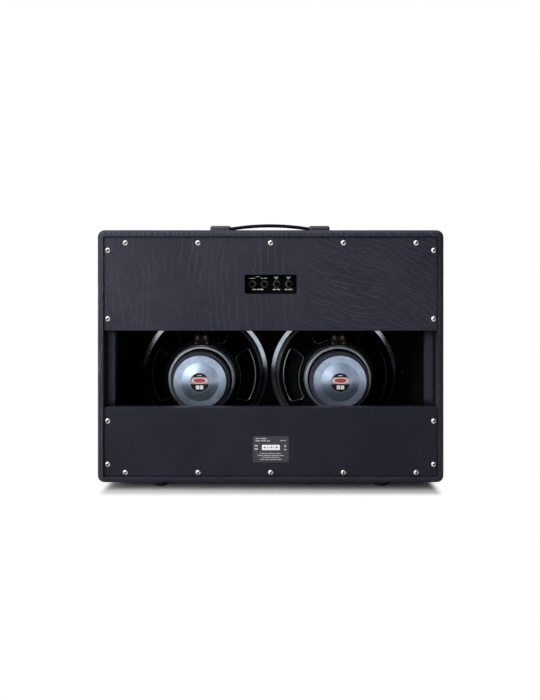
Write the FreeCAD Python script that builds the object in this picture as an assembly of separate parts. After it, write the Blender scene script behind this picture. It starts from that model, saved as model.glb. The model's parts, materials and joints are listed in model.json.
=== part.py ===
"""Open-backed guitar speaker cabinet with two twelve-inch speakers, made as separate pieces.

Millimetres, +Z up. The grille faces -Y and the open back faces +Y. The origin lies on the floor under
the middle of the cabinet. Left is -X, as seen by someone who faces the grille.
"""

import FreeCAD
import Part
import math
import os

from FreeCAD import Vector

# Box of the cabinet
CABINET_HEIGHT = 514.0
CABINET_DEPTH = 300.0
BOARD_THICKNESS = 12.0
VINYL_THICKNESS = 0.8
CORNER_RADIUS = 14.5
EDGE_RADIUS = 11.5
FINGER_COUNT = 9

# Baffle and grille
BAFFLE_THICKNESS = 15.0
BAFFLE_GROOVE_DEPTH = 4.0
BAFFLE_GROOVE_CLEARANCE = 0.1
BAFFLE_OPENING_MARGIN = 2.0
GRILLE_RECESS = 9.0
GRILLE_CLOTH_THICKNESS = 0.8
GRILLE_FRAME_THICKNESS = 13.0
GRILLE_RAIL_WIDTH = 20.0
GRILLE_EDGE_GAP = 1.5
GRILLE_SCREW_FROM_SIDE = 117.4
GRILLE_SCREW_SPACING_Z = 200.0
GRILLE_SCREW_HEAD_DIAMETER = 8.0
GRILLE_SCREW_HEAD_HEIGHT = 2.2
GRILLE_SCREW_DIAMETER = 3.6
GRILLE_SCREW_BITE = 9.0

# Rear panels and the battens that carry them
PANEL_RECESS = 3.0
PANEL_CORE_THICKNESS = 15.0
PANEL_EDGE_GAP = 0.5
PANEL_CORNER_RADIUS = 3.0
PANEL_EDGE_RADIUS = 2.0
UPPER_PANEL_HEIGHT = 190.7
LOWER_PANEL_HEIGHT = 139.7
BATTEN_WIDTH = 20.0
BATTEN_DEPTH = 20.0
PANEL_SCREW_FROM_CORNER = 43.4
PANEL_SCREW_FROM_SIDE = 8.1
PANEL_SCREW_FROM_ROOF = 12.7
PANEL_SCREW_FROM_FLOOR = 8.2
PANEL_SIDE_SCREW_FROM_FOOT = 24.4
PANEL_SIDE_SCREW_FROM_TOP = 27.4
PANEL_SCREW_HEAD_DIAMETER = 10.3
PANEL_SCREW_HEAD_HEIGHT = 2.6
PANEL_SCREW_DIAMETER = 4.4
PANEL_SCREW_BITE = 14.0

# Feet
FOOT_HEIGHT = 16.0
FOOT_DIAMETER = 26.0
FOOT_EDGE_RADIUS = 3.0
FOOT_FROM_SIDE = 122.5
FOOT_FROM_ENDS = 43.0
FOOT_SCREW_SEAT = 7.0
FOOT_SCREW_WELL_DIAMETER = 11.0
FOOT_SCREW_HEAD_DIAMETER = 9.0
FOOT_SCREW_HEAD_HEIGHT = 2.5
FOOT_SCREW_DIAMETER = 4.4
FOOT_SCREW_BITE = 11.0

# Strap handle
HANDLE_LENGTH = 268.0
CAP_LENGTH = 46.5
CAP_WIDTH = 40.0
CAP_HEIGHT = 17.5
CAP_EDGE_RADIUS = 5.5
STRAP_WIDTH = 26.0
STRAP_THICKNESS = 6.6
STRAP_SEAT_HEIGHT = 7.6
STRAP_CREST_HEIGHT = 18.3
STRAP_FOOT_RADIUS = 50.0
STRAP_FOOT_INSIDE_CAP = 24.5
STRAP_TONGUE_LENGTH = 36.0
STRAP_CLEARANCE = 0.4
STRAP_FREE_TRAVEL = 4.0
STRAP_SLOT_LENGTH = 18.0
STRAP_SLOT_WIDTH = 7.0
HANDLE_BOLT_DIAMETER = 5.0
HANDLE_BOLT_HEAD_DIAMETER = 9.5
HANDLE_BOLT_HEAD_HEIGHT = 2.8
HANDLE_BOLT_WELL_DEPTH = 3.0
HANDLE_NUT_PLATE_SIZE = 32.0
HANDLE_NUT_PLATE_THICKNESS = 3.0

# Jack plate, sockets and their circuit board
JACK_COUNT = 4
JACK_PITCH = 24.8
JACK_ABOVE_PANEL_FOOT = 94.5
JACK_CUTOUT_WIDTH = 105.6
JACK_CUTOUT_HEIGHT = 39.2
JACK_CUTOUT_RADIUS = 3.0
JACK_PLATE_MARGIN = 11.0
JACK_PLATE_THICKNESS = 1.6
JACK_BORE_DIAMETER = 6.5
JACK_BUSH_DIAMETER = 11.0
JACK_BUSH_REACH = 5.6
JACK_BODY_WIDTH = 16.0
JACK_BODY_HEIGHT = 20.0
JACK_BODY_DEPTH = 21.0
JACK_BODY_END_WALL = 3.0
JACK_NUT_SIDES = 6
JACK_NUT_ACROSS_FLATS = 14.0
JACK_NUT_THICKNESS = 3.6
JACK_BOARD_THICKNESS = 1.6
JACK_BOARD_MARGIN = 4.0
JACK_PLATE_SCREW_HEAD_DIAMETER = 6.5
JACK_PLATE_SCREW_HEAD_HEIGHT = 1.9
JACK_PLATE_SCREW_DIAMETER = 3.0
JACK_PLATE_SCREW_BITE = 10.0

# Rating label on the lower panel
LABEL_WIDTH = 73.0
LABEL_HEIGHT = 53.0
LABEL_THICKNESS = 0.3
LABEL_CORNER_RADIUS = 2.0
LABEL_ABOVE_PANEL_FOOT = 55.2

# Room round the speakers' rims: between the two, to the side boards and to the bottom board
SPEAKER_RIM_GAP = 4.5
SPEAKER_SIDE_GAP = 27.95
SPEAKER_FLOOR_GAP = 13.95

# Speaker frame: a steel pressing with four windows
SHEET_THICKNESS = 1.6
RIM_RADIUS = 154.75
FLANGE_WIDTH = 15.25
STEP_DEPTH = 16.8
STEP_RUN = 13.1
WALL_OUTER_DEPTH = 24.9
LEDGE_PAST_HALF_RIM = 9.025
LEDGE_DEPTH = 78.2
LEDGE_WIDTH = 9.4
RIM_BEND_RADIUS = 3.0
STEP_BEND_RADIUS = 6.0
WALL_BEND_RADIUS = 8.0
LEDGE_BEND_RADIUS = 2.0
PAN_BEND_RADIUS = 1.5
PAN_HOLE_MARGIN = 1.5
BASKET_DEPTH = 97.1
WINDOW_COUNT = 4
WINDOW_ABOVE_LEDGE = 2.6
WINDOW_BELOW_STEP = 2.9
WINDOW_HALF_ANGLE = 32.0
WINDOW_CORNER_RADIUS = 8.0
MOUNT_BOLT_COUNT = 4
MOUNT_BOLT_FROM_RIM = 5.45
MOUNT_BOLT_DIAMETER = 5.0
MOUNT_BOLT_HEAD_DIAMETER = 9.0
MOUNT_BOLT_HEAD_HEIGHT = 3.2
GASKET_THICKNESS = 2.5
GASKET_WIDTH = 9.95
TEE_NUT_FLANGE_DIAMETER = 17.0
TEE_NUT_FLANGE_THICKNESS = 1.4
TEE_NUT_BARREL_DIAMETER = 6.8
TEE_NUT_BARREL_LENGTH = 9.0

# Speaker motor
FRONT_PLATE_THICKNESS = 7.0
MAGNET_THICKNESS = 17.5
BACK_PLATE_THICKNESS = 8.0
MAGNET_SETBACK = 10.0
PLATE_SETBACK = 7.0
MAGNET_HOLE_MARGIN = 4.6
MOTOR_CHAMFER = 1.2
POLE_BELOW_HALF_PLATE = 8.9
POLE_LEAD = 1.0
GAP_CLEARANCE = 0.7
PLATE_FLAT_WIDTH = 17.0
BOSS_PAST_POLE = 1.4
BOSS_HEIGHT = 5.0
BOSS_BLEND_RADIUS = 5.0
MAGNET_LABEL_MARGIN = 1.5
MAGNET_LABEL_THICKNESS = 0.3

# Moving parts of the speaker
FORMER_WALL = 0.4
WINDING_WALL = 1.0
WINDING_LENGTH = 12.0
NECK_DEPTH = 57.4
SURROUND_RUN = 14.5
CONE_EDGE_DEPTH = 5.0
CONE_THICKNESS = 0.7
DUST_CAP_PAST_NECK = 11.5
DUST_CAP_HEIGHT = 12.0
DUST_CAP_THICKNESS = 0.6
GLUE_GAP = 0.3
SURROUND_THICKNESS = 0.5
SURROUND_WAVE_COUNT = 2
SURROUND_WAVE_HEIGHT = 1.5
SURROUND_LAND_WIDTH = 4.0
SURROUND_LAND_SETBACK = 1.0
SURROUND_SKIRT_WIDTH = 6.0
SPIDER_THICKNESS = 0.5
SPIDER_WAVE_COUNT = 5
SPIDER_WAVE_HEIGHT = 2.0
SPIDER_LAND_WIDTH = 5.0
SPIDER_NECK_DEPTH = 71.0
TINSEL_DIAMETER = 1.8
TINSEL_SPACING = 10.0
TINSEL_INSIDE_LEDGE = 14.4

# Shares of the way from the terminal board to the cone at which the tinsel leads turn: forward and inward
TINSEL_TURNS = [(0, 0), (0.28, 0), (0.55, 0.25), (0.8, 0.65), (1, 1)]

# Terminals and wires
TERMINAL_TAB_WIDTH = 34.0
TERMINAL_TAB_LENGTH = 17.0
TERMINAL_TAB_BELOW_PAN = 4.3
TERMINAL_BOARD_FROM_PAN = 2.0
TERMINAL_BOARD_HEIGHT = 20.0
TERMINAL_BOARD_THICKNESS = 2.0
TERMINAL_RIVET_FROM_PAN = 6.0
TERMINAL_RIVET_SPACING = 24.6
TERMINAL_RIVET_DIAMETER = 3.2
TERMINAL_RIVET_HEAD_DIAMETER = 5.2
TERMINAL_RIVET_HEAD_HEIGHT = 0.6
BLADE_WIDTH = 6.3
BLADE_THICKNESS = 0.8
BLADE_FREE_LENGTH = 9.0
BLADE_SEAT_LENGTH = 8.0
BLADE_SPACING = 18.0
SLEEVE_LENGTH = 15.0
SLEEVE_WALL = 1.1
SLEEVE_STAND_OFF = 1.0
SLEEVE_CLEARANCE = 0.1
WIRE_DIAMETER = 2.6
WIRE_BEND_SHARE = 0.45
JACK_WIRE_OFFSET = 26.0

# Shares of the way from a jack tab to a speaker tab at which the wires turn: across, back and down
WIRE_TURNS = [(0, 0, 0), (0, 0.24, 0), (0.18, 0.48, 0.13), (0.47, 0.71, 0.31),
              (0.86, 0.94, 0.54), (1, 1, 0.74), (1, 1, 1)]

# Room around every screw and bolt in its hole
HOLE_CLEARANCE = 0.15
DRIVE_SLOT_WIDTH_SHARE = 0.2
DRIVE_SLOT_LENGTH_SHARE = 0.6
DRIVE_DEPTH_SHARE = 0.6
HEAD_RIM_SHARE = 0.2

# How far a cutting shape reaches past the piece, and how near two places count as the same
REACH = 5.0
SAME_PLACE = 0.001

# Radii inside a speaker
STEP_RADIUS = RIM_RADIUS - FLANGE_WIDTH
WALL_OUTER_RADIUS = STEP_RADIUS - STEP_RUN
LEDGE_RADIUS = RIM_RADIUS / 2 + LEDGE_PAST_HALF_RIM
PAN_RADIUS = LEDGE_RADIUS - LEDGE_WIDTH
WINDOW_INNER_RADIUS = LEDGE_RADIUS + WINDOW_ABOVE_LEDGE
WINDOW_OUTER_RADIUS = WALL_OUTER_RADIUS - WINDOW_BELOW_STEP
MOUNT_BOLT_CIRCLE_RADIUS = RIM_RADIUS - MOUNT_BOLT_FROM_RIM
GASKET_INNER_RADIUS = RIM_RADIUS - GASKET_WIDTH
BAFFLE_OPENING_RADIUS = STEP_RADIUS + BAFFLE_OPENING_MARGIN
MAGNET_RADIUS = PAN_RADIUS - MAGNET_SETBACK
PLATE_RADIUS = MAGNET_RADIUS - PLATE_SETBACK
BOSS_BASE_RADIUS = PLATE_RADIUS - PLATE_FLAT_WIDTH
POLE_RADIUS = PLATE_RADIUS / 2 - POLE_BELOW_HALF_PLATE
BOSS_TOP_RADIUS = POLE_RADIUS + BOSS_PAST_POLE
MAGNET_LABEL_RADIUS = BOSS_TOP_RADIUS - MAGNET_LABEL_MARGIN
FORMER_RADIUS = POLE_RADIUS + GAP_CLEARANCE + FORMER_WALL
WINDING_RADIUS = FORMER_RADIUS + WINDING_WALL
FRONT_PLATE_BORE_RADIUS = WINDING_RADIUS + GAP_CLEARANCE
MAGNET_HOLE_RADIUS = FRONT_PLATE_BORE_RADIUS + MAGNET_HOLE_MARGIN
PAN_HOLE_RADIUS = MAGNET_HOLE_RADIUS + PAN_HOLE_MARGIN
NECK_RADIUS = FORMER_RADIUS + GLUE_GAP
DUST_CAP_RADIUS = NECK_RADIUS + DUST_CAP_PAST_NECK
CONE_EDGE_RADIUS = STEP_RADIUS - SURROUND_RUN
TINSEL_CONE_RADIUS = LEDGE_RADIUS - TINSEL_INSIDE_LEDGE
TERMINAL_TAB_END = PAN_RADIUS + TERMINAL_TAB_LENGTH
TERMINAL_BOARD_FOOT = PAN_RADIUS + TERMINAL_BOARD_FROM_PAN
TERMINAL_BOARD_END = TERMINAL_BOARD_FOOT + TERMINAL_BOARD_HEIGHT
TERMINAL_RIVET_RADIUS = PAN_RADIUS + TERMINAL_RIVET_FROM_PAN

# Levels and faces that several pieces share: the box is built round its speakers
BASE_Z = FOOT_HEIGHT
ROOF_Z = BASE_Z + CABINET_HEIGHT
FRONT_Y = -CABINET_DEPTH / 2
BACK_Y = CABINET_DEPTH / 2
WOOD_INSET = VINYL_THICKNESS + BOARD_THICKNESS
WOOD_FLOOR_Z = BASE_Z + WOOD_INSET
SPEAKER_X = RIM_RADIUS + SPEAKER_RIM_GAP / 2
SPEAKER_Z = WOOD_FLOOR_Z + SPEAKER_FLOOR_GAP + RIM_RADIUS
WOOD_INSIDE_X = SPEAKER_X + RIM_RADIUS + SPEAKER_SIDE_GAP
HALF_WIDTH = WOOD_INSIDE_X + WOOD_INSET
WOOD_ROOF_Z = ROOF_Z - WOOD_INSET
MOUTH_X = WOOD_INSIDE_X - VINYL_THICKNESS
MOUTH_FLOOR_Z = WOOD_FLOOR_Z + VINYL_THICKNESS
MOUTH_ROOF_Z = WOOD_ROOF_Z - VINYL_THICKNESS
CLOTH_FRONT_Y = FRONT_Y + GRILLE_RECESS
GRILLE_FRAME_FRONT_Y = CLOTH_FRONT_Y + GRILLE_CLOTH_THICKNESS
BAFFLE_FRONT_Y = GRILLE_FRAME_FRONT_Y + GRILLE_FRAME_THICKNESS
BAFFLE_BACK_Y = BAFFLE_FRONT_Y + BAFFLE_THICKNESS
PANEL_OUTER_Y = BACK_Y - PANEL_RECESS
PANEL_INNER_Y = PANEL_OUTER_Y - PANEL_CORE_THICKNESS - VINYL_THICKNESS
BATTEN_FRONT_Y = PANEL_INNER_Y - BATTEN_DEPTH
PANEL_X = MOUTH_X - PANEL_EDGE_GAP
UPPER_PANEL_TOP_Z = MOUTH_ROOF_Z - PANEL_EDGE_GAP
UPPER_PANEL_FOOT_Z = UPPER_PANEL_TOP_Z - UPPER_PANEL_HEIGHT
LOWER_PANEL_FOOT_Z = MOUTH_FLOOR_Z + PANEL_EDGE_GAP
LOWER_PANEL_TOP_Z = LOWER_PANEL_FOOT_Z + LOWER_PANEL_HEIGHT
JACK_Z = UPPER_PANEL_FOOT_Z + JACK_ABOVE_PANEL_FOOT
JACK_PLATE_INNER_Y = PANEL_INNER_Y - JACK_PLATE_THICKNESS
JACK_BODY_INNER_Y = JACK_PLATE_INNER_Y - JACK_BODY_DEPTH
JACK_BOARD_INNER_Y = JACK_BODY_INNER_Y - JACK_BOARD_THICKNESS
SPEAKER_SEAT_Y = BAFFLE_BACK_Y + GASKET_THICKNESS

# Depths inside a speaker, counted back from the front face of its rim
FRONT_PLATE_BACK = BASKET_DEPTH + FRONT_PLATE_THICKNESS
MAGNET_BACK = FRONT_PLATE_BACK + MAGNET_THICKNESS
BACK_PLATE_BACK = MAGNET_BACK + BACK_PLATE_THICKNESS
BOSS_BACK = BACK_PLATE_BACK + BOSS_HEIGHT
PAN_FRONT = BASKET_DEPTH - SHEET_THICKNESS
GAP_MIDDLE = BASKET_DEPTH + FRONT_PLATE_THICKNESS / 2
TAB_BACK = BASKET_DEPTH - TERMINAL_TAB_BELOW_PAN
TAB_FRONT = TAB_BACK - SHEET_THICKNESS
BOARD_BACK = TAB_BACK + TERMINAL_BOARD_THICKNESS
BLADE_MIDDLE = BOARD_BACK + BLADE_THICKNESS / 2


def block(x0, x1, y0, y1, z0, z1):
    """Box between two corners."""
    return Part.makeBox(x1 - x0, y1 - y0, z1 - z0, Vector(x0, y0, z0))


def rod(diameter, start, end):
    """Round bar from one point to another."""
    way = end - start
    return Part.makeCylinder(diameter / 2, way.Length, start, way)


def moved(shape, x=0.0, y=0.0, z=0.0):
    """Copy of a shape, shifted."""
    return shape.translated(Vector(x, y, z))


def turned_over(shape, axis, degrees):
    """Copy of a shape, turned about an axis through the origin."""
    return shape.rotated(Vector(0, 0, 0), axis, degrees)


def carved(shape, tools):
    """Shape with every tool cut out of it."""
    return shape.cut(list(tools)).removeSplitter()


def outline(start, *steps):
    """Flat face from a start and steps: a corner, or a pair (point on the way, end) for an arc."""
    edges = []
    here = start
    for step in steps:
        if isinstance(step[0], tuple):
            middle, end = step
            edges.append(Part.Arc(Vector(*here), Vector(*middle), Vector(*end)).toShape())
        else:
            end = step
            edges.append(Part.LineSegment(Vector(*here), Vector(*end)).toShape())
        here = end
    if here != start:
        edges.append(Part.LineSegment(Vector(*here), Vector(*start)).toShape())
    return Part.Face(Part.Wire(edges))


def revolved(face):
    """Solid turned from a flat face of radii and depths, about the Y axis."""
    return face.revolve(Vector(0, 0, 0), Vector(0, 1, 0), 360)


def ring(inner, outer, front, back, chamfer=0.0):
    """Flat ring about the Y axis, with chamfered outer edges where a chamfer is given."""
    if not chamfer:
        return revolved(outline((inner, front), (outer, front), (outer, back), (inner, back)))
    return revolved(outline((inner, front), (outer - chamfer, front), (outer, front + chamfer),
                            (outer, back - chamfer), (outer - chamfer, back), (inner, back)))


def rounded_route(points, bend_share, bend_radii=None):
    """Wire of straight runs joined by tangent arcs, and the radii of those arcs.

    An arc's radius is a share of its shorter run divided by the tangent of half its turn, or the
    corner's own bend radius where that is smaller.
    """
    edges = []
    radii = []
    here = points[0]
    for number, (before, corner, after) in enumerate(zip(points, points[1:], points[2:])):
        back = before - corner
        on = after - corner
        half_turn = (math.pi - back.getAngle(on)) / 2
        radius = bend_share * min(back.Length, on.Length) / math.tan(half_turn)
        if bend_radii:
            radius = min(radius, bend_radii[number])
        reach = radius * math.tan(half_turn)
        back.normalize()
        on.normalize()
        start = corner + back * reach
        end = corner + on * reach
        inward = back + on
        inward.normalize()
        middle = corner + inward * (radius / math.cos(half_turn) - radius)
        edges.append(Part.LineSegment(here, start).toShape())
        edges.append(Part.Arc(start, middle, end).toShape())
        radii.append(radius)
        here = end
    edges.append(Part.LineSegment(here, points[-1]).toShape())
    return Part.Wire(edges), radii


def pressed_sheet(corners, thickness, bend_radii):
    """Turned sheet: its front face follows the rounded corners and its back lies a thickness behind."""
    route, _ = rounded_route([Vector(r, depth, 0) for r, depth in corners], WIRE_BEND_SHARE, bend_radii)
    return revolved(route.makeOffset2D(thickness, 0, True, True, False))


def round_wire(name, points, diameter):
    """Round wire along a rounded route; says its smallest bend and how true its volume is."""
    route, radii = rounded_route(points, WIRE_BEND_SHARE)
    first_run = points[1] - points[0]
    section = Part.Wire(Part.makeCircle(diameter / 2, points[0], first_run))
    wire = route.makePipeShell([section], True, False)
    solid = Part.Solid(wire.Shells[0]) if wire.ShapeType != "Solid" else wire
    ratio = solid.Volume / (math.pi * diameter ** 2 / 4 * route.Length)
    print(f"{name}: length {route.Length:.1f}, least bend radius {min(radii):.1f}, volume ratio {ratio:.4f}")
    return solid


def dome_screw(head_diameter, head_height, diameter, length):
    """Domed cross-head screw along Y: its seat is at zero, its head towards +Y, its point at -length."""
    head_radius = head_diameter / 2
    rim = head_height * HEAD_RIM_SHARE
    dome_rise = head_height - rim
    dome_radius = (dome_rise ** 2 + head_radius ** 2) / (2 * dome_rise)
    half_angle = math.asin(min(1.0, head_radius / dome_radius)) / 2
    on_dome = (dome_radius * math.sin(half_angle), head_height - dome_radius * (1 - math.cos(half_angle)))
    screw = revolved(outline((0, head_height), (on_dome, (head_radius, rim)), (head_radius, 0),
                             (diameter / 2, 0), (diameter / 2, diameter - length), (0, -length)))
    half_slot = head_diameter * DRIVE_SLOT_WIDTH_SHARE / 2
    half_arm = head_diameter * DRIVE_SLOT_LENGTH_SHARE / 2
    bottom = head_height * (1 - DRIVE_DEPTH_SHARE)
    top = head_height + REACH
    arms = [block(-half_arm, half_arm, bottom, top, -half_slot, half_slot),
            block(-half_slot, half_slot, bottom, top, -half_arm, half_arm)]
    return carved(screw, arms)


def hole_diameter(diameter):
    """Hole that a screw passes through."""
    return diameter + 2 * HOLE_CLEARANCE


def rounded_box(x0, x1, y0, y1, z0, z1, corner_radius, edge_radius, back_only=False):
    """Box with rounded edges along Y, then rounded rims at its back, and at its front unless back_only."""
    body = block(x0, x1, y0, y1, z0, z1)
    along = [edge for edge in body.Edges if edge.BoundBox.YLength > (y1 - y0) / 2]
    body = body.makeFillet(corner_radius, along)
    rims = (y1,) if back_only else (y0, y1)
    flat = [edge for edge in body.Edges if edge.BoundBox.YLength < SAME_PLACE]
    rim_edges = [edge for edge in flat if any(abs(edge.BoundBox.YMin - y) < SAME_PLACE for y in rims)]
    return body.makeFillet(edge_radius, rim_edges)


# Box of the cabinet: wooden boards with finger joints and a vinyl covering


def shell_block(inset):
    """Solid rounded block of the cabinet's outer shape, an inset inside its finished faces."""
    return rounded_box(-HALF_WIDTH + inset, HALF_WIDTH - inset, FRONT_Y + inset, BACK_Y - inset,
                       BASE_Z + inset, ROOF_Z - inset, CORNER_RADIUS - inset, EDGE_RADIUS - inset)


def wood_tunnel():
    """Space inside the four boards, from front to back."""
    return block(-WOOD_INSIDE_X, WOOD_INSIDE_X, FRONT_Y - REACH, BACK_Y + REACH, WOOD_FLOOR_Z, WOOD_ROOF_Z)


def baffle_groove():
    """Slab that makes the groove for the baffle in the four boards."""
    side = WOOD_INSIDE_X + BAFFLE_GROOVE_DEPTH
    front = BAFFLE_FRONT_Y - BAFFLE_GROOVE_CLEARANCE
    back = BAFFLE_BACK_Y + BAFFLE_GROOVE_CLEARANCE
    return block(-side, side, front, back,
                 WOOD_FLOOR_Z - BAFFLE_GROOVE_DEPTH, WOOD_ROOF_Z + BAFFLE_GROOVE_DEPTH)


def corner_fingers(side, level, first):
    """Every second finger space of one corner, as blocks; first is 0 or 1."""
    depth = (CABINET_DEPTH - 2 * VINYL_THICKNESS) / FINGER_COUNT
    x0, x1 = sorted((side * WOOD_INSIDE_X, side * (HALF_WIDTH + REACH)))
    z0, z1 = (WOOD_ROOF_Z, ROOF_Z + REACH) if level > 0 else (BASE_Z - REACH, WOOD_FLOOR_Z)
    start = FRONT_Y + VINYL_THICKNESS
    return [block(x0, x1, start + depth * n, start + depth * (n + 1), z0, z1)
            for n in range(first, FINGER_COUNT, 2)]


def cabinet_boards():
    """The top, bottom, left and right boards, grooved for the baffle and drilled for feet and handle."""
    hollow = carved(shell_block(VINYL_THICKNESS), [wood_tunnel(), baffle_groove()])
    hollow = carved(hollow, [rod(hole_diameter(FOOT_SCREW_DIAMETER), Vector(x, y, BASE_Z - REACH),
                                 Vector(x, y, BASE_Z + VINYL_THICKNESS + FOOT_SCREW_BITE))
                             for x, y in foot_places()])
    hollow = carved(hollow, handle_bolt_holes())
    wide = HALF_WIDTH + REACH
    boards = {}
    for name, level in (("top_board", 1), ("bottom_board", -1)):
        z0, z1 = (WOOD_ROOF_Z, ROOF_Z + REACH) if level > 0 else (BASE_Z - REACH, WOOD_FLOOR_Z)
        slab = hollow.common(block(-wide, wide, FRONT_Y, BACK_Y, z0, z1))
        boards[name] = carved(slab, corner_fingers(-1, level, 1) + corner_fingers(1, level, 1))
    for name, side in (("left_side_board", -1), ("right_side_board", 1)):
        x0, x1 = sorted((side * WOOD_INSIDE_X, side * wide))
        slab = hollow.common(block(x0, x1, FRONT_Y, BACK_Y, BASE_Z - REACH, ROOF_Z + REACH))
        boards[name] = carved(slab, corner_fingers(side, -1, 0) + corner_fingers(side, 1, 0))
    return boards


def cabinet_covering():
    """Vinyl over the outside of the box and both rims, turned in as far as the baffle and the battens."""
    mouth = block(-MOUTH_X, MOUTH_X, FRONT_Y - REACH, BACK_Y + REACH, MOUTH_FLOOR_Z, MOUTH_ROOF_Z)
    bare_inside = block(-WOOD_INSIDE_X, WOOD_INSIDE_X, BAFFLE_FRONT_Y, PANEL_INNER_Y,
                        WOOD_FLOOR_Z, WOOD_ROOF_Z)
    boards = carved(shell_block(VINYL_THICKNESS), [wood_tunnel()])
    holes = [rod(hole_diameter(FOOT_SCREW_DIAMETER), Vector(x, y, BASE_Z - REACH), Vector(x, y, WOOD_FLOOR_Z))
             for x, y in foot_places()]
    return carved(shell_block(0), [mouth, bare_inside, boards] + holes + handle_bolt_holes())


# Baffle and grille


def speaker_places():
    """The two speakers' names and their sides."""
    return (("left", -1), ("right", 1))


def at_speaker(shape, side):
    """Shape made about the Y axis, put on a speaker's axis at the front face of its rim."""
    return moved(shape, side * SPEAKER_X, SPEAKER_SEAT_Y, SPEAKER_Z)


def mount_bolt_places():
    """Places of the mounting bolts about a speaker's axis, on its diagonals."""
    step = 2 * math.pi / MOUNT_BOLT_COUNT
    return [(MOUNT_BOLT_CIRCLE_RADIUS * math.cos(step * (n + 0.5)),
             MOUNT_BOLT_CIRCLE_RADIUS * math.sin(step * (n + 0.5))) for n in range(MOUNT_BOLT_COUNT)]


def grille_edges():
    """Half width, foot and top of the grille frame."""
    return MOUTH_X - GRILLE_EDGE_GAP, MOUTH_FLOOR_Z + GRILLE_EDGE_GAP, MOUTH_ROOF_Z - GRILLE_EDGE_GAP


def grille_screw_places():
    """Screws along the middle of the grille frame's rails."""
    half, foot, top = grille_edges()
    rail_x = half - GRILLE_RAIL_WIDTH / 2
    across_x = half - GRILLE_SCREW_FROM_SIDE
    across = [(x, z) for x in (-across_x, 0.0, across_x)
              for z in (foot + GRILLE_RAIL_WIDTH / 2, top - GRILLE_RAIL_WIDTH / 2)]
    upright = [(side * rail_x, SPEAKER_Z + rise)
               for side in (-1, 1) for rise in (0.0, GRILLE_SCREW_SPACING_Z)]
    return across + upright


def grille_screw_holes():
    """Holes for the grille screws through the baffle and into the frame."""
    return [rod(hole_diameter(GRILLE_SCREW_DIAMETER), Vector(x, BAFFLE_BACK_Y + REACH, z),
                Vector(x, BAFFLE_FRONT_Y - GRILLE_SCREW_BITE, z)) for x, z in grille_screw_places()]


def baffle_board():
    """Baffle with two round openings, seats for the tee nuts and holes for the grille screws."""
    side = WOOD_INSIDE_X + BAFFLE_GROOVE_DEPTH - BAFFLE_GROOVE_CLEARANCE
    rise = BAFFLE_GROOVE_DEPTH - BAFFLE_GROOVE_CLEARANCE
    board = block(-side, side, BAFFLE_FRONT_Y, BAFFLE_BACK_Y, WOOD_FLOOR_Z - rise, WOOD_ROOF_Z + rise)
    tools = grille_screw_holes()
    for _, side in speaker_places():
        centre_x = side * SPEAKER_X
        front = BAFFLE_FRONT_Y - REACH
        back = BAFFLE_BACK_Y + REACH
        tools.append(rod(2 * BAFFLE_OPENING_RADIUS, Vector(centre_x, front, SPEAKER_Z),
                         Vector(centre_x, back, SPEAKER_Z)))
        for dx, dz in mount_bolt_places():
            x = centre_x + dx
            z = SPEAKER_Z + dz
            seat = BAFFLE_FRONT_Y + TEE_NUT_FLANGE_THICKNESS
            tools.append(rod(hole_diameter(MOUNT_BOLT_DIAMETER), Vector(x, front, z), Vector(x, back, z)))
            tools.append(rod(hole_diameter(TEE_NUT_BARREL_DIAMETER), Vector(x, front, z),
                             Vector(x, seat + TEE_NUT_BARREL_LENGTH, z)))
            tools.append(rod(hole_diameter(TEE_NUT_FLANGE_DIAMETER), Vector(x, front, z), Vector(x, seat, z)))
    return carved(board, tools)


def grille_frame():
    """Wooden frame with a middle stile, in front of the baffle."""
    half, foot, top = grille_edges()
    rail = GRILLE_RAIL_WIDTH
    frame = block(-half, half, GRILLE_FRAME_FRONT_Y, BAFFLE_FRONT_Y, foot, top)
    windows = [block(x0, x1, FRONT_Y, BAFFLE_FRONT_Y + REACH, foot + rail, top - rail)
               for x0, x1 in ((-half + rail, -rail / 2), (rail / 2, half - rail))]
    return carved(frame, windows + grille_screw_holes())


def grille_cloth():
    """Cloth stretched over the front of the grille frame."""
    half, foot, top = grille_edges()
    return block(-half, half, CLOTH_FRONT_Y, GRILLE_FRAME_FRONT_Y, foot, top)


def grille_screws():
    """Screws from the back of the baffle into the grille frame."""
    screw = dome_screw(GRILLE_SCREW_HEAD_DIAMETER, GRILLE_SCREW_HEAD_HEIGHT, GRILLE_SCREW_DIAMETER,
                       BAFFLE_THICKNESS + GRILLE_SCREW_BITE)
    return [moved(screw, x, BAFFLE_BACK_Y, z) for x, z in grille_screw_places()]


# Rear panels


def panel_screw_places(level):
    """Screws of the upper panel (1) or the lower panel (-1): a row of five, and four at the sides."""
    foot, top = panel_levels(level)
    row_z = MOUTH_ROOF_Z - PANEL_SCREW_FROM_ROOF if level > 0 else MOUTH_FLOOR_Z + PANEL_SCREW_FROM_FLOOR
    row_end = PANEL_X - PANEL_SCREW_FROM_CORNER
    row = [(share * row_end, row_z) for share in (-1, -0.5, 0, 0.5, 1)]
    side_x = MOUTH_X - PANEL_SCREW_FROM_SIDE
    sides = [(side * side_x, z) for side in (-1, 1)
             for z in (foot + PANEL_SIDE_SCREW_FROM_FOOT, top - PANEL_SIDE_SCREW_FROM_TOP)]
    return row + sides


def panel_levels(level):
    """Foot and top of the upper panel (level 1) or the lower panel (level -1)."""
    if level > 0:
        return UPPER_PANEL_FOOT_Z, UPPER_PANEL_TOP_Z
    return LOWER_PANEL_FOOT_Z, LOWER_PANEL_TOP_Z


def panel_screw_holes(level):
    """Holes for one panel's screws, through the panel and into the battens."""
    return [rod(hole_diameter(PANEL_SCREW_DIAMETER), Vector(x, BACK_Y + REACH, z),
                Vector(x, PANEL_INNER_Y - PANEL_SCREW_BITE, z)) for x, z in panel_screw_places(level)]


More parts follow.
